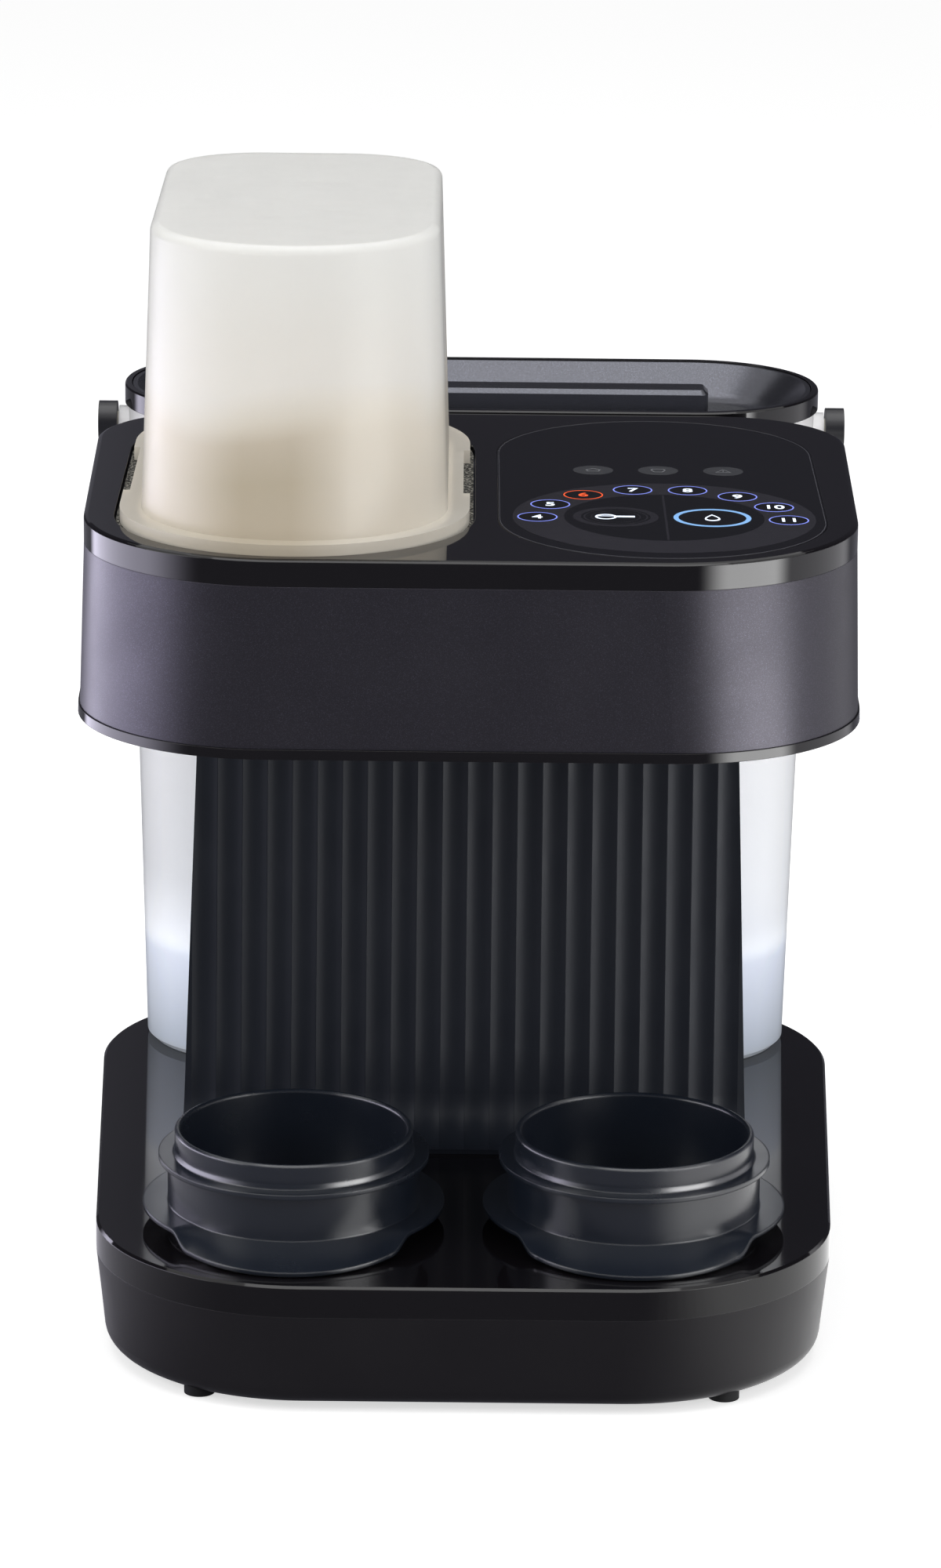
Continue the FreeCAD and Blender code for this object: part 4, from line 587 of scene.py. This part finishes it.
class Finish(Enum):
    """Every finish of the machine."""

    BODY = MouldedPlastic("satin_black_body", "1f1d21", 0.36, specular=0.28)
    GLOSS = PolishedPlastic("polished_black_plastic", "121013")
    BAND = FlakeLacquer("flake_lacquer_band", "3b3941")
    CUP = MouldedPlastic("satin_navy_cup", "1d232e", 0.24, specular=1.0, edge_mm=0.8)
    FLUTES = MouldedPlastic("satin_blue_black_flutes", "22262f", specular=0.24, edge_mm=0.0)
    TUB = HopperPlastic("frosted_hopper", 268 * MM, 360 * MM, -106 * MM, 0.0)
    TANK = LitTankPlastic("lit_tank_wall", 80 * MM, 45 * MM, 263 * MM)
    GLASS = PolishedPlastic("touch_glass_black", "0b0a0d", 0.03)
    GASKET = SoftRubber("speckled_gasket", "242422", "a9a79f")
    RUBBER = SoftRubber("black_rubber", "1a1a1c")
    IVORY = MouldedPlastic("ivory_pin", "d9d5ca", 0.4)
    BAIL = MouldedPlastic("dark_grey_bail", "232328", 0.34, specular=0.5)
    INNER = MouldedPlastic("inner_white_plastic", "d6d5d0", 0.45)
    GEAR = MouldedPlastic("acetal_gear", "e4e2da", 0.35, grain_mm=1.2)
    LID = FlakeLacquer("satin_grey_lid", "57585e", 0.12, 0.24, 0.85)
    STEEL = BrushedMetal("drawn_steel", "9a9a98")
    BOARD = MouldedPlastic("circuit_board", "12442c", 0.3, grain_mm=2.0)
    HOSE = FrostedPlastic("silicone_hose", "d8d6cf", 0.35, 0.3)
    INK_DIAL = Ink("ink_dial", "2d2c31")
    INK_CENTRE = Ink("ink_centre", "08080a")
    INK_BUTTON = Ink("ink_button", "29282d")
    INK_STATUS = Ink("ink_status", "46474a")
    INK_SYMBOL = Ink("ink_status_symbol", "8a8c90")
    # A grey line laid on as ink: a painted highlight along the touch glass's edge.
    GLASS_EDGE_HIGHLIGHT = Ink("painted_glass_edge_highlight", "55555b", roughness=0.25)
    LIT_WHITE = Ink("lit_white", "e4eeff", 1.0)
    LIT_BLUE = Ink("lit_blue", "7f8ce8", 0.75)
    LIT_SKY = Ink("lit_sky", "7facde", 0.62)
    LIT_ORANGE = Ink("lit_orange", "e4562a", 0.8)
    POWDER = MilkPowder("milk_powder", "e3cdaf")
    WATER = StillWater("still_water", "a9c3e6")

    def material(self) -> bpy.types.Material:
        """The finish's material, built once."""
        return bpy.data.materials.get(self.value.name) or self.value.material()


# ---- pieces

def circle(centre: Vector, radius: float, count: int = 72) -> list[Vector]:
    """Points round a circle, anticlockwise."""
    turn = 2 * math.pi / count
    return [centre + Vector((math.cos(turn * n), math.sin(turn * n), 0.0)) * radius
            for n in range(count)]


def around(centre: Vector, *places: tuple[float, float]) -> list[Vector]:
    """Points at level places, given in millimetres from a centre."""
    return [centre + Vector((x, y, 0.0)) * MM for x, y in places]


def join_rings(mesh: bmesh.types.BMesh, lower: Loop, upper: Loop) -> None:
    """Joins two rings of corners with a wall that looks outward.

    Args:
        mesh: the mesh that both are in.
        lower: the ring below, anticlockwise seen from above.
        upper: the ring above it, with as many corners.
    """
    for number, corner in enumerate(lower):
        after = (number + 1) % len(lower)
        mesh.faces.new((corner, lower[after], upper[after], upper[number]))


def close_rings(mesh: bmesh.types.BMesh, rings: list[Loop]) -> None:
    """Joins a stack of rings and closes it at both ends.

    Args:
        mesh: the mesh that they are in.
        rings: the rings, from the lowest up.
    """
    for lower, upper in zip(rings, rings[1:]):
        join_rings(mesh, lower, upper)
    mesh.faces.new(list(reversed(rings[0])))
    mesh.faces.new(rings[-1])


def show(name: str, data: bpy.types.ID) -> bpy.types.Object:
    """Puts a new object in the scene.

    Args:
        name: the object's name.
        data: its mesh, light or camera.

    Returns:
        The object.
    """
    holder = bpy.data.objects.new(name, data)
    bpy.context.scene.collection.objects.link(holder)
    return holder


def show_mesh(mesh: bmesh.types.BMesh, name: str,
              material: bpy.types.Material) -> bpy.types.Object:
    """Turns a finished bmesh into an object with one material.

    Args:
        mesh: the geometry, in metres.
        name: the object's name.
        material: its material.

    Returns:
        The object.
    """
    data = bpy.data.meshes.new(name)
    mesh.to_mesh(data)
    mesh.free()
    data.materials.append(material)
    return show(name, data)


def place_mesh(mesh: bmesh.types.BMesh, name: str, body: str, look: Finish,
               smooth: bool = False) -> bpy.types.Object:
    """Turns a finished bmesh into a piece that rides on a body.

    Args:
        mesh: the geometry, in metres.
        name: the piece's name.
        body: the body that it rides on.
        look: its finish.
        smooth: whether its faces are shaded smooth.

    Returns:
        The piece.
    """
    bmesh.ops.recalc_face_normals(mesh, faces=mesh.faces)
    piece = show_mesh(mesh, name, look.material())
    for face in piece.data.polygons:
        face.use_smooth = smooth
    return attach(piece, body)


def dress(look: Finish, *nodes: str) -> None:
    """Gives fixed parts their finish.

    Args:
        look: the finish.
        nodes: the parts' names.
    """
    for node in nodes:
        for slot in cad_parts[node].material_slots:
            slot.material = look.material()
    LOG.info("%s: %s", look.value.name, ", ".join(nodes))


class Sheet:
    """Collects flat closed plates in one mesh."""

    def __init__(self, low: float, high: float) -> None:
        """Starts an empty sheet.

        Args:
            low: underside of its plates, in metres.
            high: upper side of its plates, in metres.
        """
        self.mesh = bmesh.new()
        self.low = low
        self.high = high

    def loop(self, points: list[Vector], level: float) -> Loop:
        """Adds a loop of corners at a level."""
        return [self.mesh.verts.new((point.x, point.y, level)) for point in points]

    def plate(self, outline: list[Vector]) -> None:
        """Adds a plate with one outline, given anticlockwise seen from above."""
        close_rings(self.mesh, [self.loop(outline, level) for level in (self.low, self.high)])

    def band(self, outer: list[Vector], inner: list[Vector]) -> None:
        """Adds a plate between two outlines.

        Args:
            outer: the outer corners, anticlockwise seen from above.
            inner: as many inner corners, the same way round.
        """
        rings = [self.loop(points, level) for points, level in (
            (outer, self.low), (outer, self.high), (inner, self.high), (inner, self.low))]
        for lower, upper in zip(rings, rings[1:] + rings[:1]):
            join_rings(self.mesh, lower, upper)

    def disc(self, centre: Vector, radius: float) -> None:
        """Adds a round plate."""
        self.plate(circle(centre, radius))

    def ring(self, centre: Vector, radius: float, width: float) -> None:
        """Adds a ring, given its outer radius and its width."""
        self.band(circle(centre, radius), circle(centre, radius - width))

    def stroke(self, points: list[Vector], width: float) -> None:
        """Adds an open line of even width with square ends.

        Args:
            points: the places that it runs through.
            width: its width.
        """
        left, right = [], []
        for number, point in enumerate(points):
            before = points[max(number - 1, 0)]
            after = points[min(number + 1, len(points) - 1)]
            along = (after - before).normalized()
            across = Vector((-along.y, along.x, 0.0)) * width / 2
            left.append(point + across)
            right.append(point - across)
        self.plate(right + list(reversed(left)))

    def outline(self, points: list[Vector], width: float) -> None:
        """Adds a closed line of nearly even width just inside a convex outline.

        Args:
            points: the outline's corners, anticlockwise.
            width: the line's width at the corner that is furthest out.
        """
        middle = sum(points, Vector()) / len(points)
        reach = max((point - middle).length for point in points)
        self.band(points, [middle + (point - middle) * (1 - width / reach) for point in points])

    def letters(self, words: str, centre: Vector, size: float) -> None:
        """Adds upright figures.

        Args:
            words: the figures.
            centre: their middle.
            size: their height setting.
        """
        font = bpy.data.curves.new(f"figure_{words}", "FONT")
        font.body = words
        font.size = size
        font.align_x = "CENTER"
        font.align_y = "CENTER"
        font.offset = size * 0.018
        font.extrude = (self.high - self.low) / 2
        holder = bpy.data.objects.new("figure", font)
        made = bpy.data.meshes.new_from_object(holder)
        made.transform(Matrix.Translation((centre.x, centre.y, (self.low + self.high) / 2)))
        self.mesh.from_mesh(made)
        bpy.data.objects.remove(holder)
        bpy.data.meshes.remove(made)
        bpy.data.curves.remove(font)

    def finish(self, name: str, look: Finish) -> None:
        """Makes the piece, on the machine's fixed body."""
        place_mesh(self.mesh, name, MACHINE, look)


@dataclass
class Plan:
    """A plan outline with rounded corners."""

    left: float
    right: float
    front: float
    rear: float
    front_corner: float
    rear_corner: float

    def inset(self, amount: float) -> "Plan":
        """The same outline drawn in all round."""
        return Plan(self.left + amount, self.right - amount, self.front + amount,
                    self.rear - amount, self.front_corner - amount, self.rear_corner - amount)

    def points(self, level: float, steps: int = 16) -> list[Vector]:
        """The outline's points, anticlockwise from the front left corner.

        Args:
            level: their height.
            steps: points in each corner.

        Returns:
            The points.
        """
        front, rear = self.front_corner, self.rear_corner
        corners = [(self.left + front, self.front + front, front, math.pi),
                   (self.right - front, self.front + front, front, 1.5 * math.pi),
                   (self.right - rear, self.rear - rear, rear, 0.0),
                   (self.left + rear, self.rear - rear, rear, 0.5 * math.pi)]
        return [Vector((x + radius * math.cos(start + 0.5 * math.pi * n / steps),
                        y + radius * math.sin(start + 0.5 * math.pi * n / steps), level))
                for x, y, radius, start in corners for n in range(steps + 1)]


# ---- sub-assemblies

@dataclass
class Base:
    """The base: pan, deck, feet and the two bottle cups."""

    def build(self) -> None:
        """Dresses the base's parts."""
        dress(Finish.BODY, "base_pan")
        dress(Finish.GLOSS, "base_deck")
        dress(Finish.RUBBER, "rubber_feet", "mains_gland")
        dress(Finish.CUP, "bottle_holder_left", "bottle_holder_right")


@dataclass
class Column:
    """The column with its fluted splashback and the works inside it."""

    def build(self) -> None:
        """Dresses the column's parts."""
        dress(Finish.FLUTES, "flute_panel")
        dress(Finish.BODY, "column_shell")
        dress(Finish.INNER, "water_pump")
        dress(Finish.STEEL, "water_heater", "dosing_motor", "motor_pinion")
        dress(Finish.BOARD, "control_board", "touch_board")
        dress(Finish.HOSE, "inlet_tube", "outlet_tube", "transfer_pipe")


@dataclass
class Head:
    """The head: lacquered band, gloss top panel and the printed touch glass."""

    proud: float = 0.04 * MM
    layer: float = 0.03 * MM
    glass_corner: float = 49.2 * MM
    fine_line: float = 0.4 * MM
    dial: Vector = Vector((58.6, -90.9, 0.0)) * MM
    dial_radius: float = 46 * MM
    centre_radius: float = 30.4 * MM
    figure_radius: float = 6.1 * MM
    figure_size: float = 6.6 * MM
    well_inset: float = 0.3 * MM
    scoop: Vector = Vector((43.9, -90.8, 0.0)) * MM
    drop: Vector = Vector((73.2, -91.0, 0.0)) * MM
    status_radius: float = 6.3 * MM
    status_line: float = 0.5 * MM

    FIGURES = (("4", 20.1, -91.9), ("5", 24.2, -74.9), ("6", 34.5, -61.7), ("7", 49.9, -54.4),
               ("8", 66.9, -54.4), ("9", 82.0, -62.1), ("10", 92.6, -75.9), ("11", 96.3, -93.0))
    CHOSEN = "6"
    SCOOP_RINGS = ((13.0, 2.4), (9.8, 0.5), (7.6, 0.4))
    STATUS = (
        ((38.2, -27.0), ((-1.8, -1.6), (1.8, -1.6), (2.4, 0.6), (0.0, 2.6), (-2.4, 0.6))),
        ((58.6, -26.7), ((-1.3, -2.2), (1.3, -2.2), (2.4, 0.4),
                         (1.9, 2.2), (-1.9, 2.2), (-2.4, 0.4))),
        ((79.0, -26.8), ((-2.5, -1.7), (2.5, -1.7), (0.0, 2.5))),
    )

    def build(self) -> None:
        """Dresses the head's parts and prints the glass."""
        dress(Finish.BAND, "head_shell")
        dress(Finish.GLOSS, "head_top_panel", "head_under_cover")
        dress(Finish.GLASS, "touch_glass")
        dress(Finish.BODY, "hopper_well", "water_nozzle")
        dress(Finish.INNER, "powder_chute")
        self.print_dial()
        self.print_figures()
        self.print_buttons()
        self.print_symbols()
        self.print_status()

    def sheet(self, layer: int) -> Sheet:
        """An empty sheet of prints.

        Args:
            layer: how many layers it lies above the glass.

        Returns:
            The sheet.
        """
        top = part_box("touch_glass")[1].z
        low = top + self.layer * layer
        return Sheet(low, low + self.proud)

    def print_dial(self) -> None:
        """Lays a painted highlight round the glass's edge, and prints the dial's ring and its dark
        centre.
        """
        low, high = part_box("touch_glass")
        border = Plan(low.x, high.x, low.y, high.y, self.glass_corner, self.glass_corner)
        # A thin line just inside the glass's outline: a painted edge highlight.
        edge = self.sheet(0)
        edge.outline(border.inset(self.fine_line).points(high.z), self.fine_line)
        edge.finish("glass_edge_highlight", Finish.GLASS_EDGE_HIGHLIGHT)
        dial = self.sheet(0)
        dial.ring(self.dial, self.dial_radius, self.dial_radius - self.centre_radius)
        dial.finish("dial_ring", Finish.INK_DIAL)
        centre = self.sheet(0)
        centre.disc(self.dial, self.centre_radius)
        centre.finish("dial_centre", Finish.INK_CENTRE)

    def print_figures(self) -> None:
        """Prints the dial's figures in their rings, with the chosen one in its own colour."""
        wells, cold, chosen, white = self.sheet(1), self.sheet(2), self.sheet(2), self.sheet(2)
        for words, x, y in self.FIGURES:
            spot, = around(Vector(), (x, y))
            rings, letters = (chosen, chosen) if words == self.CHOSEN else (cold, white)
            wells.disc(spot, self.figure_radius - self.well_inset)
            rings.ring(spot, self.figure_radius, self.fine_line)
            letters.letters(words, spot, self.figure_size)
        wells.finish("figure_wells", Finish.INK_CENTRE)
        cold.finish("figure_rings", Finish.LIT_BLUE)
        chosen.finish("figure_chosen", Finish.LIT_ORANGE)
        white.finish("figures", Finish.LIT_WHITE)

    def print_buttons(self) -> None:
        """Prints the rings of the scoop and water buttons and the line between them."""
        discs = self.sheet(1)
        for radius, width in self.SCOOP_RINGS:
            discs.ring(self.scoop, radius * MM, width * MM)
        discs.stroke(around(self.dial, (0.4, -29.5), (0.4, 0.0), (0.4, 29.5)), 0.7 * MM)
        discs.finish("button_prints", Finish.INK_BUTTON)
        ring = self.sheet(2)
        ring.ring(self.drop, 11.8 * MM, 1.5 * MM)
        ring.finish("water_ring", Finish.LIT_SKY)

    def print_symbols(self) -> None:
        """Prints the scoop, with its powder's level and its handle, and the drop of water."""
        symbols = self.sheet(2)
        bowl, = around(self.scoop, (-3.0, 0.0))
        symbols.ring(bowl, 3.3 * MM, 0.7 * MM)
        symbols.stroke(around(bowl, (-2.8, 1.0), (0.0, 1.0), (2.8, 1.0)), 0.6 * MM)
        symbols.stroke(around(bowl, (3.2, 0.4), (6.0, 0.4), (8.8, 0.4)), 1.7 * MM)
        turns = [2 * math.pi * n / 36 for n in range(36)]
        tear = around(self.drop, *((3.2 * math.sin(a) * math.sin(a / 2) ** 1.2,
                                    0.2 + 4.2 * math.cos(a)) for a in turns))
        symbols.outline(list(reversed(tear)), 1.0 * MM)
        symbols.finish("button_symbols", Finish.LIT_WHITE)

    def print_status(self) -> None:
        """Prints the three status discs with a tank, a hopper and a warning symbol."""
        discs, marks = self.sheet(0), self.sheet(1)
        for place, shape in self.STATUS:
            centre, = around(Vector(), place)
            discs.disc(centre, self.status_radius)
            marks.outline(around(centre, *shape), self.status_line)
        warning, = around(Vector(), self.STATUS[-1][0])
        marks.stroke(around(warning, (0.0, -0.6), (0.0, 0.0), (0.0, 0.9)), 0.35 * MM)
        discs.finish("status_discs", Finish.INK_STATUS)
        marks.finish("status_marks", Finish.INK_SYMBOL)


@dataclass
class Hopper:
    """The powder hopper: frosted tub, gasket, dosing parts and the powder inside."""

    powder_low: float = 268.5 * MM
    powder_level: float = 304 * MM
    front_corner: float = 42.9 * MM
    rear_corner: float = 30.4 * MM
    gap: float = 0.4 * MM
    lean: float = 2.0
    swell: float = 5 * MM

    SIDE_STEPS = 4
    TOP_RINGS = (0.85, 0.65, 0.45, 0.25, 0.1)
    DISH, SLOPE, RIPPLE, RIPPLES = 2.2, 0.9, 0.25, 9

    def build(self) -> None:
        """Dresses the hopper's parts and fills it."""
        dress(Finish.TUB, "hopper_tub")
        dress(Finish.GASKET, "hopper_gasket")
        dress(Finish.INNER, "dosing_tray", "metering_baffle")
        dress(Finish.GEAR, "dosing_wheel", "agitator", "drive_gear")
        self.fill()

    def heap(self, across: float, along: float) -> float:
        """The powder's height over its level, at shares of the tub's width and depth."""
        return self.swell * (self.DISH * across * across + self.SLOPE * along
                             + self.RIPPLE * math.sin(self.RIPPLES * across))

    def fill(self) -> None:
        """Builds the powder, with the uneven top that pouring leaves."""
        tray_low, tray_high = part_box("dosing_tray")
        foot = Plan(tray_low.x, tray_high.x, tray_low.y, tray_high.y,
                    self.front_corner, self.rear_corner)
        middle = Vector(((foot.left + foot.right) / 2, (foot.front + foot.rear) / 2,
                         self.powder_level))
        draft = math.tan(math.radians(self.lean))
        mesh = bmesh.new()
        rings = []
        for n in range(self.SIDE_STEPS + 1):
            rise = n * (self.powder_level - self.powder_low) / self.SIDE_STEPS
            level = self.powder_low + rise
            drawn_in = self.gap + draft * (level - self.powder_low)
            rings.append([mesh.verts.new(p) for p in foot.inset(drawn_in).points(level)])
        brim = rings[-1]
        for share in self.TOP_RINGS:
            inner = [middle + (vert.co - middle) * share for vert in brim]
            rings.append([mesh.verts.new((p.x, p.y, self.powder_level)) for p in inner])
        close_rings(mesh, rings)
        for ring in rings[self.SIDE_STEPS:]:
            for vert in ring:
                vert.co.z += self.heap((vert.co.x - middle.x) / (foot.right - foot.left),
                                       (vert.co.y - middle.y) / (foot.rear - foot.front))
        place_mesh(mesh, "powder_fill", "hopper", Finish.POWDER, smooth=True)


@dataclass
class Tank:
    """The water tank with its rim, lid, bail and valve, and the water inside."""

    level: float = 80 * MM
    wall: float = 2.2 * MM
    gap: float = 0.3 * MM
    lean: float = 1.42
    rim_proud: float = 1.2 * MM
    corner: float = 41 * MM

    def build(self) -> None:
        """Dresses the tank's parts and fills it."""
        dress(Finish.TANK, "tank_body")
        dress(Finish.GLOSS, "tank_rim")
        dress(Finish.LID, "tank_lid")
        dress(Finish.BAIL, "tank_handle")
        dress(Finish.IVORY, "handle_pins")
        dress(Finish.INNER, "valve_cage")
        dress(Finish.RUBBER, "tank_valve", "socket_seal")
        dress(Finish.BODY, "tank_socket")
        self.fill()

    def fill(self) -> None:
        """Builds the water, just clear of the tank's walls and floor."""
        low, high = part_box("tank_rim")
        proud = self.rim_proud
        top_plan = Plan(low.x + proud, high.x - proud, low.y + proud, high.y - proud,
                        self.corner, self.corner)
        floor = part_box("tank_body")[0].z + self.wall + self.gap
        draft = math.tan(math.radians(self.lean))
        mesh = bmesh.new()
        rings = []
        for level in (floor, self.level):
            drawn_in = self.wall + self.gap + draft * (low.z - level)
            rings.append([mesh.verts.new(p) for p in top_plan.inset(drawn_in).points(level)])
        close_rings(mesh, rings)
        place_mesh(mesh, "water_fill", "tank", Finish.WATER)


# ---- studio

@dataclass(frozen=True)
class Card:
    """A curved card round the machine, with bearings in degrees: 0 in front, 90 to the right."""

    name: str
    start: float
    end: float
    fades: tuple[float, float]
    reach: tuple[float, float]
    rise: tuple[float, float]
    code: str
    strength: float

    def share(self, bearing: float) -> float:
        """How much of the card there is at a bearing, with soft ends.

        Args:
            bearing: the bearing, in degrees.

        Returns:
            A share from 0 to 1.
        """
        into, back = bearing - self.start, self.end - bearing
        value = min([1.0] + [gone / fade for gone, fade in zip((into, back), self.fades)
                             if fade > 0.0])
        return value * value * (3.0 - 2.0 * value)


@dataclass(frozen=True)
class Lamp:
    """A square soft light."""

    name: str
    spot: tuple[float, float, float]
    width: float
    power: float


@dataclass
class Studio:
    """Floor, soft lights, reflecting cards and the camera."""

    eye: Vector = Vector((-2.316, -1836.09, 678.50)) * MM
    tilt: float = 15.80
    swing: float = 0.10
    roll: float = 0.634
    lens: float = 135.554
    sensor: float = 36.0
    far_limit: float = 50.0
    aim: Vector = Vector((0.0, -0.05, 0.2))
    floor_reach: float = 6.0
    floor_level: float = -0.2 * MM
    floor_glow: float = 0.62
    world_light: float = 0.4
    world_seen: float = 0.6
    card_steps: int = 36

    LAMPS = (
        Lamp("overhead", (0.0, -0.1, 1.9), 1.6, 14.0),
        Lamp("left", (-1.5, -0.7, 1.0), 1.0, 9.0),
        Lamp("right", (1.5, -0.9, 0.9), 0.9, 7.0),
    )
    CARDS = (
        Card("dark_card_low", 0, 360, (0, 0), (0.0, 2.4), (-0.0001, -0.0001), "74747c", 1.0),
        Card("dark_card_behind", 75, 285, (0, 0), (2.4, 2.4), (0.0, 2.3), "404047", 1.0),
        Card("pale_card_behind", 183, 200, (6, 0), (2.3, 2.3), (0.0, 2.3), "72727b", 1.0),
        Card("dark_card_ahead", -75, 75, (0, 0), (2.4, 2.4), (0.0, 1.7), "5f5f66", 1.0),
        Card("right_softbox", 22, 70, (15, 11), (0.62, 0.62), (0.07, 0.24), "ffffff", 8.6),
        Card("right_card", 60, 132, (8, 16), (0.64, 0.64), (0.0, 0.3), "fbfaff", 1.2),
        Card("left_softbox", -132, -42, (10, 32), (0.62, 0.62), (0.03, 0.26), "eeeaff", 5.0),
        Card("lit_floor_right", 16, 110, (26, 10), (0.12, 0.4), (0.0005, 0.0005), "ffffff", 1.4),
        Card("lit_floor_left", -130, -30, (10, 40), (0.12, 0.28), (0.0005, 0.0005), "f4f2ff", 0.6),
    )

    def build(self) -> None:
        """Sets up everything that isn't the machine."""
        self.set_view()
        self.lay_floor()
        self.light_world()
        self.hang_lights()
        self.stand_cards()
        self.place_camera()

    def set_view(self) -> None:
        """Shows colours as they are written."""
        bpy.context.scene.view_settings.view_transform = "Standard"

    def lay_floor(self) -> None:
        """Lays a pale floor that shows white to the eye and keeps the machine's shadow."""
        reach = self.floor_reach
        mesh = bmesh.new()
        mesh.faces.new([mesh.verts.new((x, y, self.floor_level)) for x, y in
                        ((-reach, -reach), (reach, -reach), (reach, reach), (-reach, reach))])
        shader = Shader("pale_floor")
        shader.set(Base_Color=colour("e4e4e4"), Roughness=0.9, Specular_IOR_Level=0.0,
                   Emission_Color=WHITE)
        shader.drive("Emission Strength", shader.seen_directly(self.floor_glow))
        floor = show_mesh(mesh, "floor", shader.material)

    def light_world(self) -> None:
        """White all round to the eye, and a moderate even light on the machine."""
        world = bpy.data.worlds.new("studio")
        bpy.context.scene.world = world
        world.use_nodes = True
        tree = Tree(world.node_tree)
        back = world.node_tree.nodes["Background"]
        back.inputs["Color"].default_value = WHITE
        strength = tree.maths("ADD", tree.seen_directly(self.world_seen), self.world_light)
        tree.join(strength, back.inputs["Strength"])

    def hang_lights(self) -> None:
        """Hangs a large soft light overhead and one at each side."""
        for lamp in self.LAMPS:
            light = bpy.data.lights.new(f"light_{lamp.name}", "AREA")
            light.shape = "SQUARE"
            light.size = lamp.width
            light.energy = lamp.power
            holder = show(light.name, light)
            holder.location = lamp.spot
            ahead = self.aim - Vector(lamp.spot)
            holder.rotation_euler = ahead.to_track_quat("-Z", "Y").to_euler()

    def stand_cards(self) -> None:
        """Stands the dark cards and the bright ones that only polished surfaces show."""
        for card in self.CARDS:
            self.stand(card)

    def stand(self, card: Card) -> None:
        """Builds a card that shows only in reflections, and only where it is bright.

        Args:
            card: the card.
        """
        mesh = bmesh.new()
        glow = mesh.verts.layers.float.new("glow")
        columns = []
        for n in range(self.card_steps + 1):
            degrees = card.start + (card.end - card.start) * n / self.card_steps
            bearing = math.radians(degrees)
            column = [mesh.verts.new((reach * math.sin(bearing), -reach * math.cos(bearing), level))
                      for reach, level in zip(card.reach, card.rise)]
            for vert in column:
                vert[glow] = card.share(degrees)
            columns.append(column)
        for (a, b), (c, d) in zip(columns, columns[1:]):
            mesh.faces.new((a, c, d, b))
        holder = show_mesh(mesh, card.name, self.card_material(card))
        holder.visible_camera = False
        holder.visible_diffuse = False
        holder.visible_transmission = False
        holder.visible_shadow = False

    def card_material(self, card: Card) -> bpy.types.Material:
        """A card's light, which thins out to clear at its soft ends.

        Args:
            card: the card.

        Returns:
            The new material.
        """
        shader = Shader(card.name)
        spread = shader.add("ShaderNodeAttribute", attribute_name="glow")
        light = shader.add("ShaderNodeEmission", Color=colour(card.code), Strength=card.strength)
        clear = shader.add("ShaderNodeBsdfTransparent")
        mix = shader.add("ShaderNodeMixShader", spread.outputs["Fac"], clear.outputs[0],
                         light.outputs[0])
        target = next(node for node in shader.tree.nodes if node.type == "OUTPUT_MATERIAL")
        shader.join(mix.outputs[0], target.inputs["Surface"])
        return shader.material

    def place_camera(self) -> None:
        """Stands the camera, tilted down and rolled a little."""
        tilt, swing, roll = (math.radians(v) for v in (self.tilt, self.swing, self.roll))
        ahead = Vector((math.sin(swing) * math.cos(tilt), math.cos(swing) * math.cos(tilt),
                        -math.sin(tilt)))
        right = Vector((math.cos(swing), -math.sin(swing), 0.0))
        up = right.cross(ahead)
        rolled_right = right * math.cos(roll) + up * math.sin(roll)
        rolled_up = up * math.cos(roll) - right * math.sin(roll)
        turn = Matrix((rolled_right, rolled_up, -ahead)).transposed()
        lens = bpy.data.cameras.new("camera")
        lens.lens = self.lens
        lens.sensor_width = self.sensor
        lens.clip_end = self.far_limit
        camera = show("camera", lens)
        camera.matrix_world = Matrix.Translation(self.eye) @ turn.to_4x4()
        bpy.context.scene.camera = camera


def main() -> None:
    """Builds the machine's looks in order, then the studio."""
    logging.basicConfig(level=logging.INFO, format="%(name)s: %(message)s")
    for part in (Base(), Column(), Head(), Hopper(), Tank(), Studio()):
        LOG.info("building %s", type(part).__name__.lower())
        part.build()


if __name__ == "__main__":
    main()
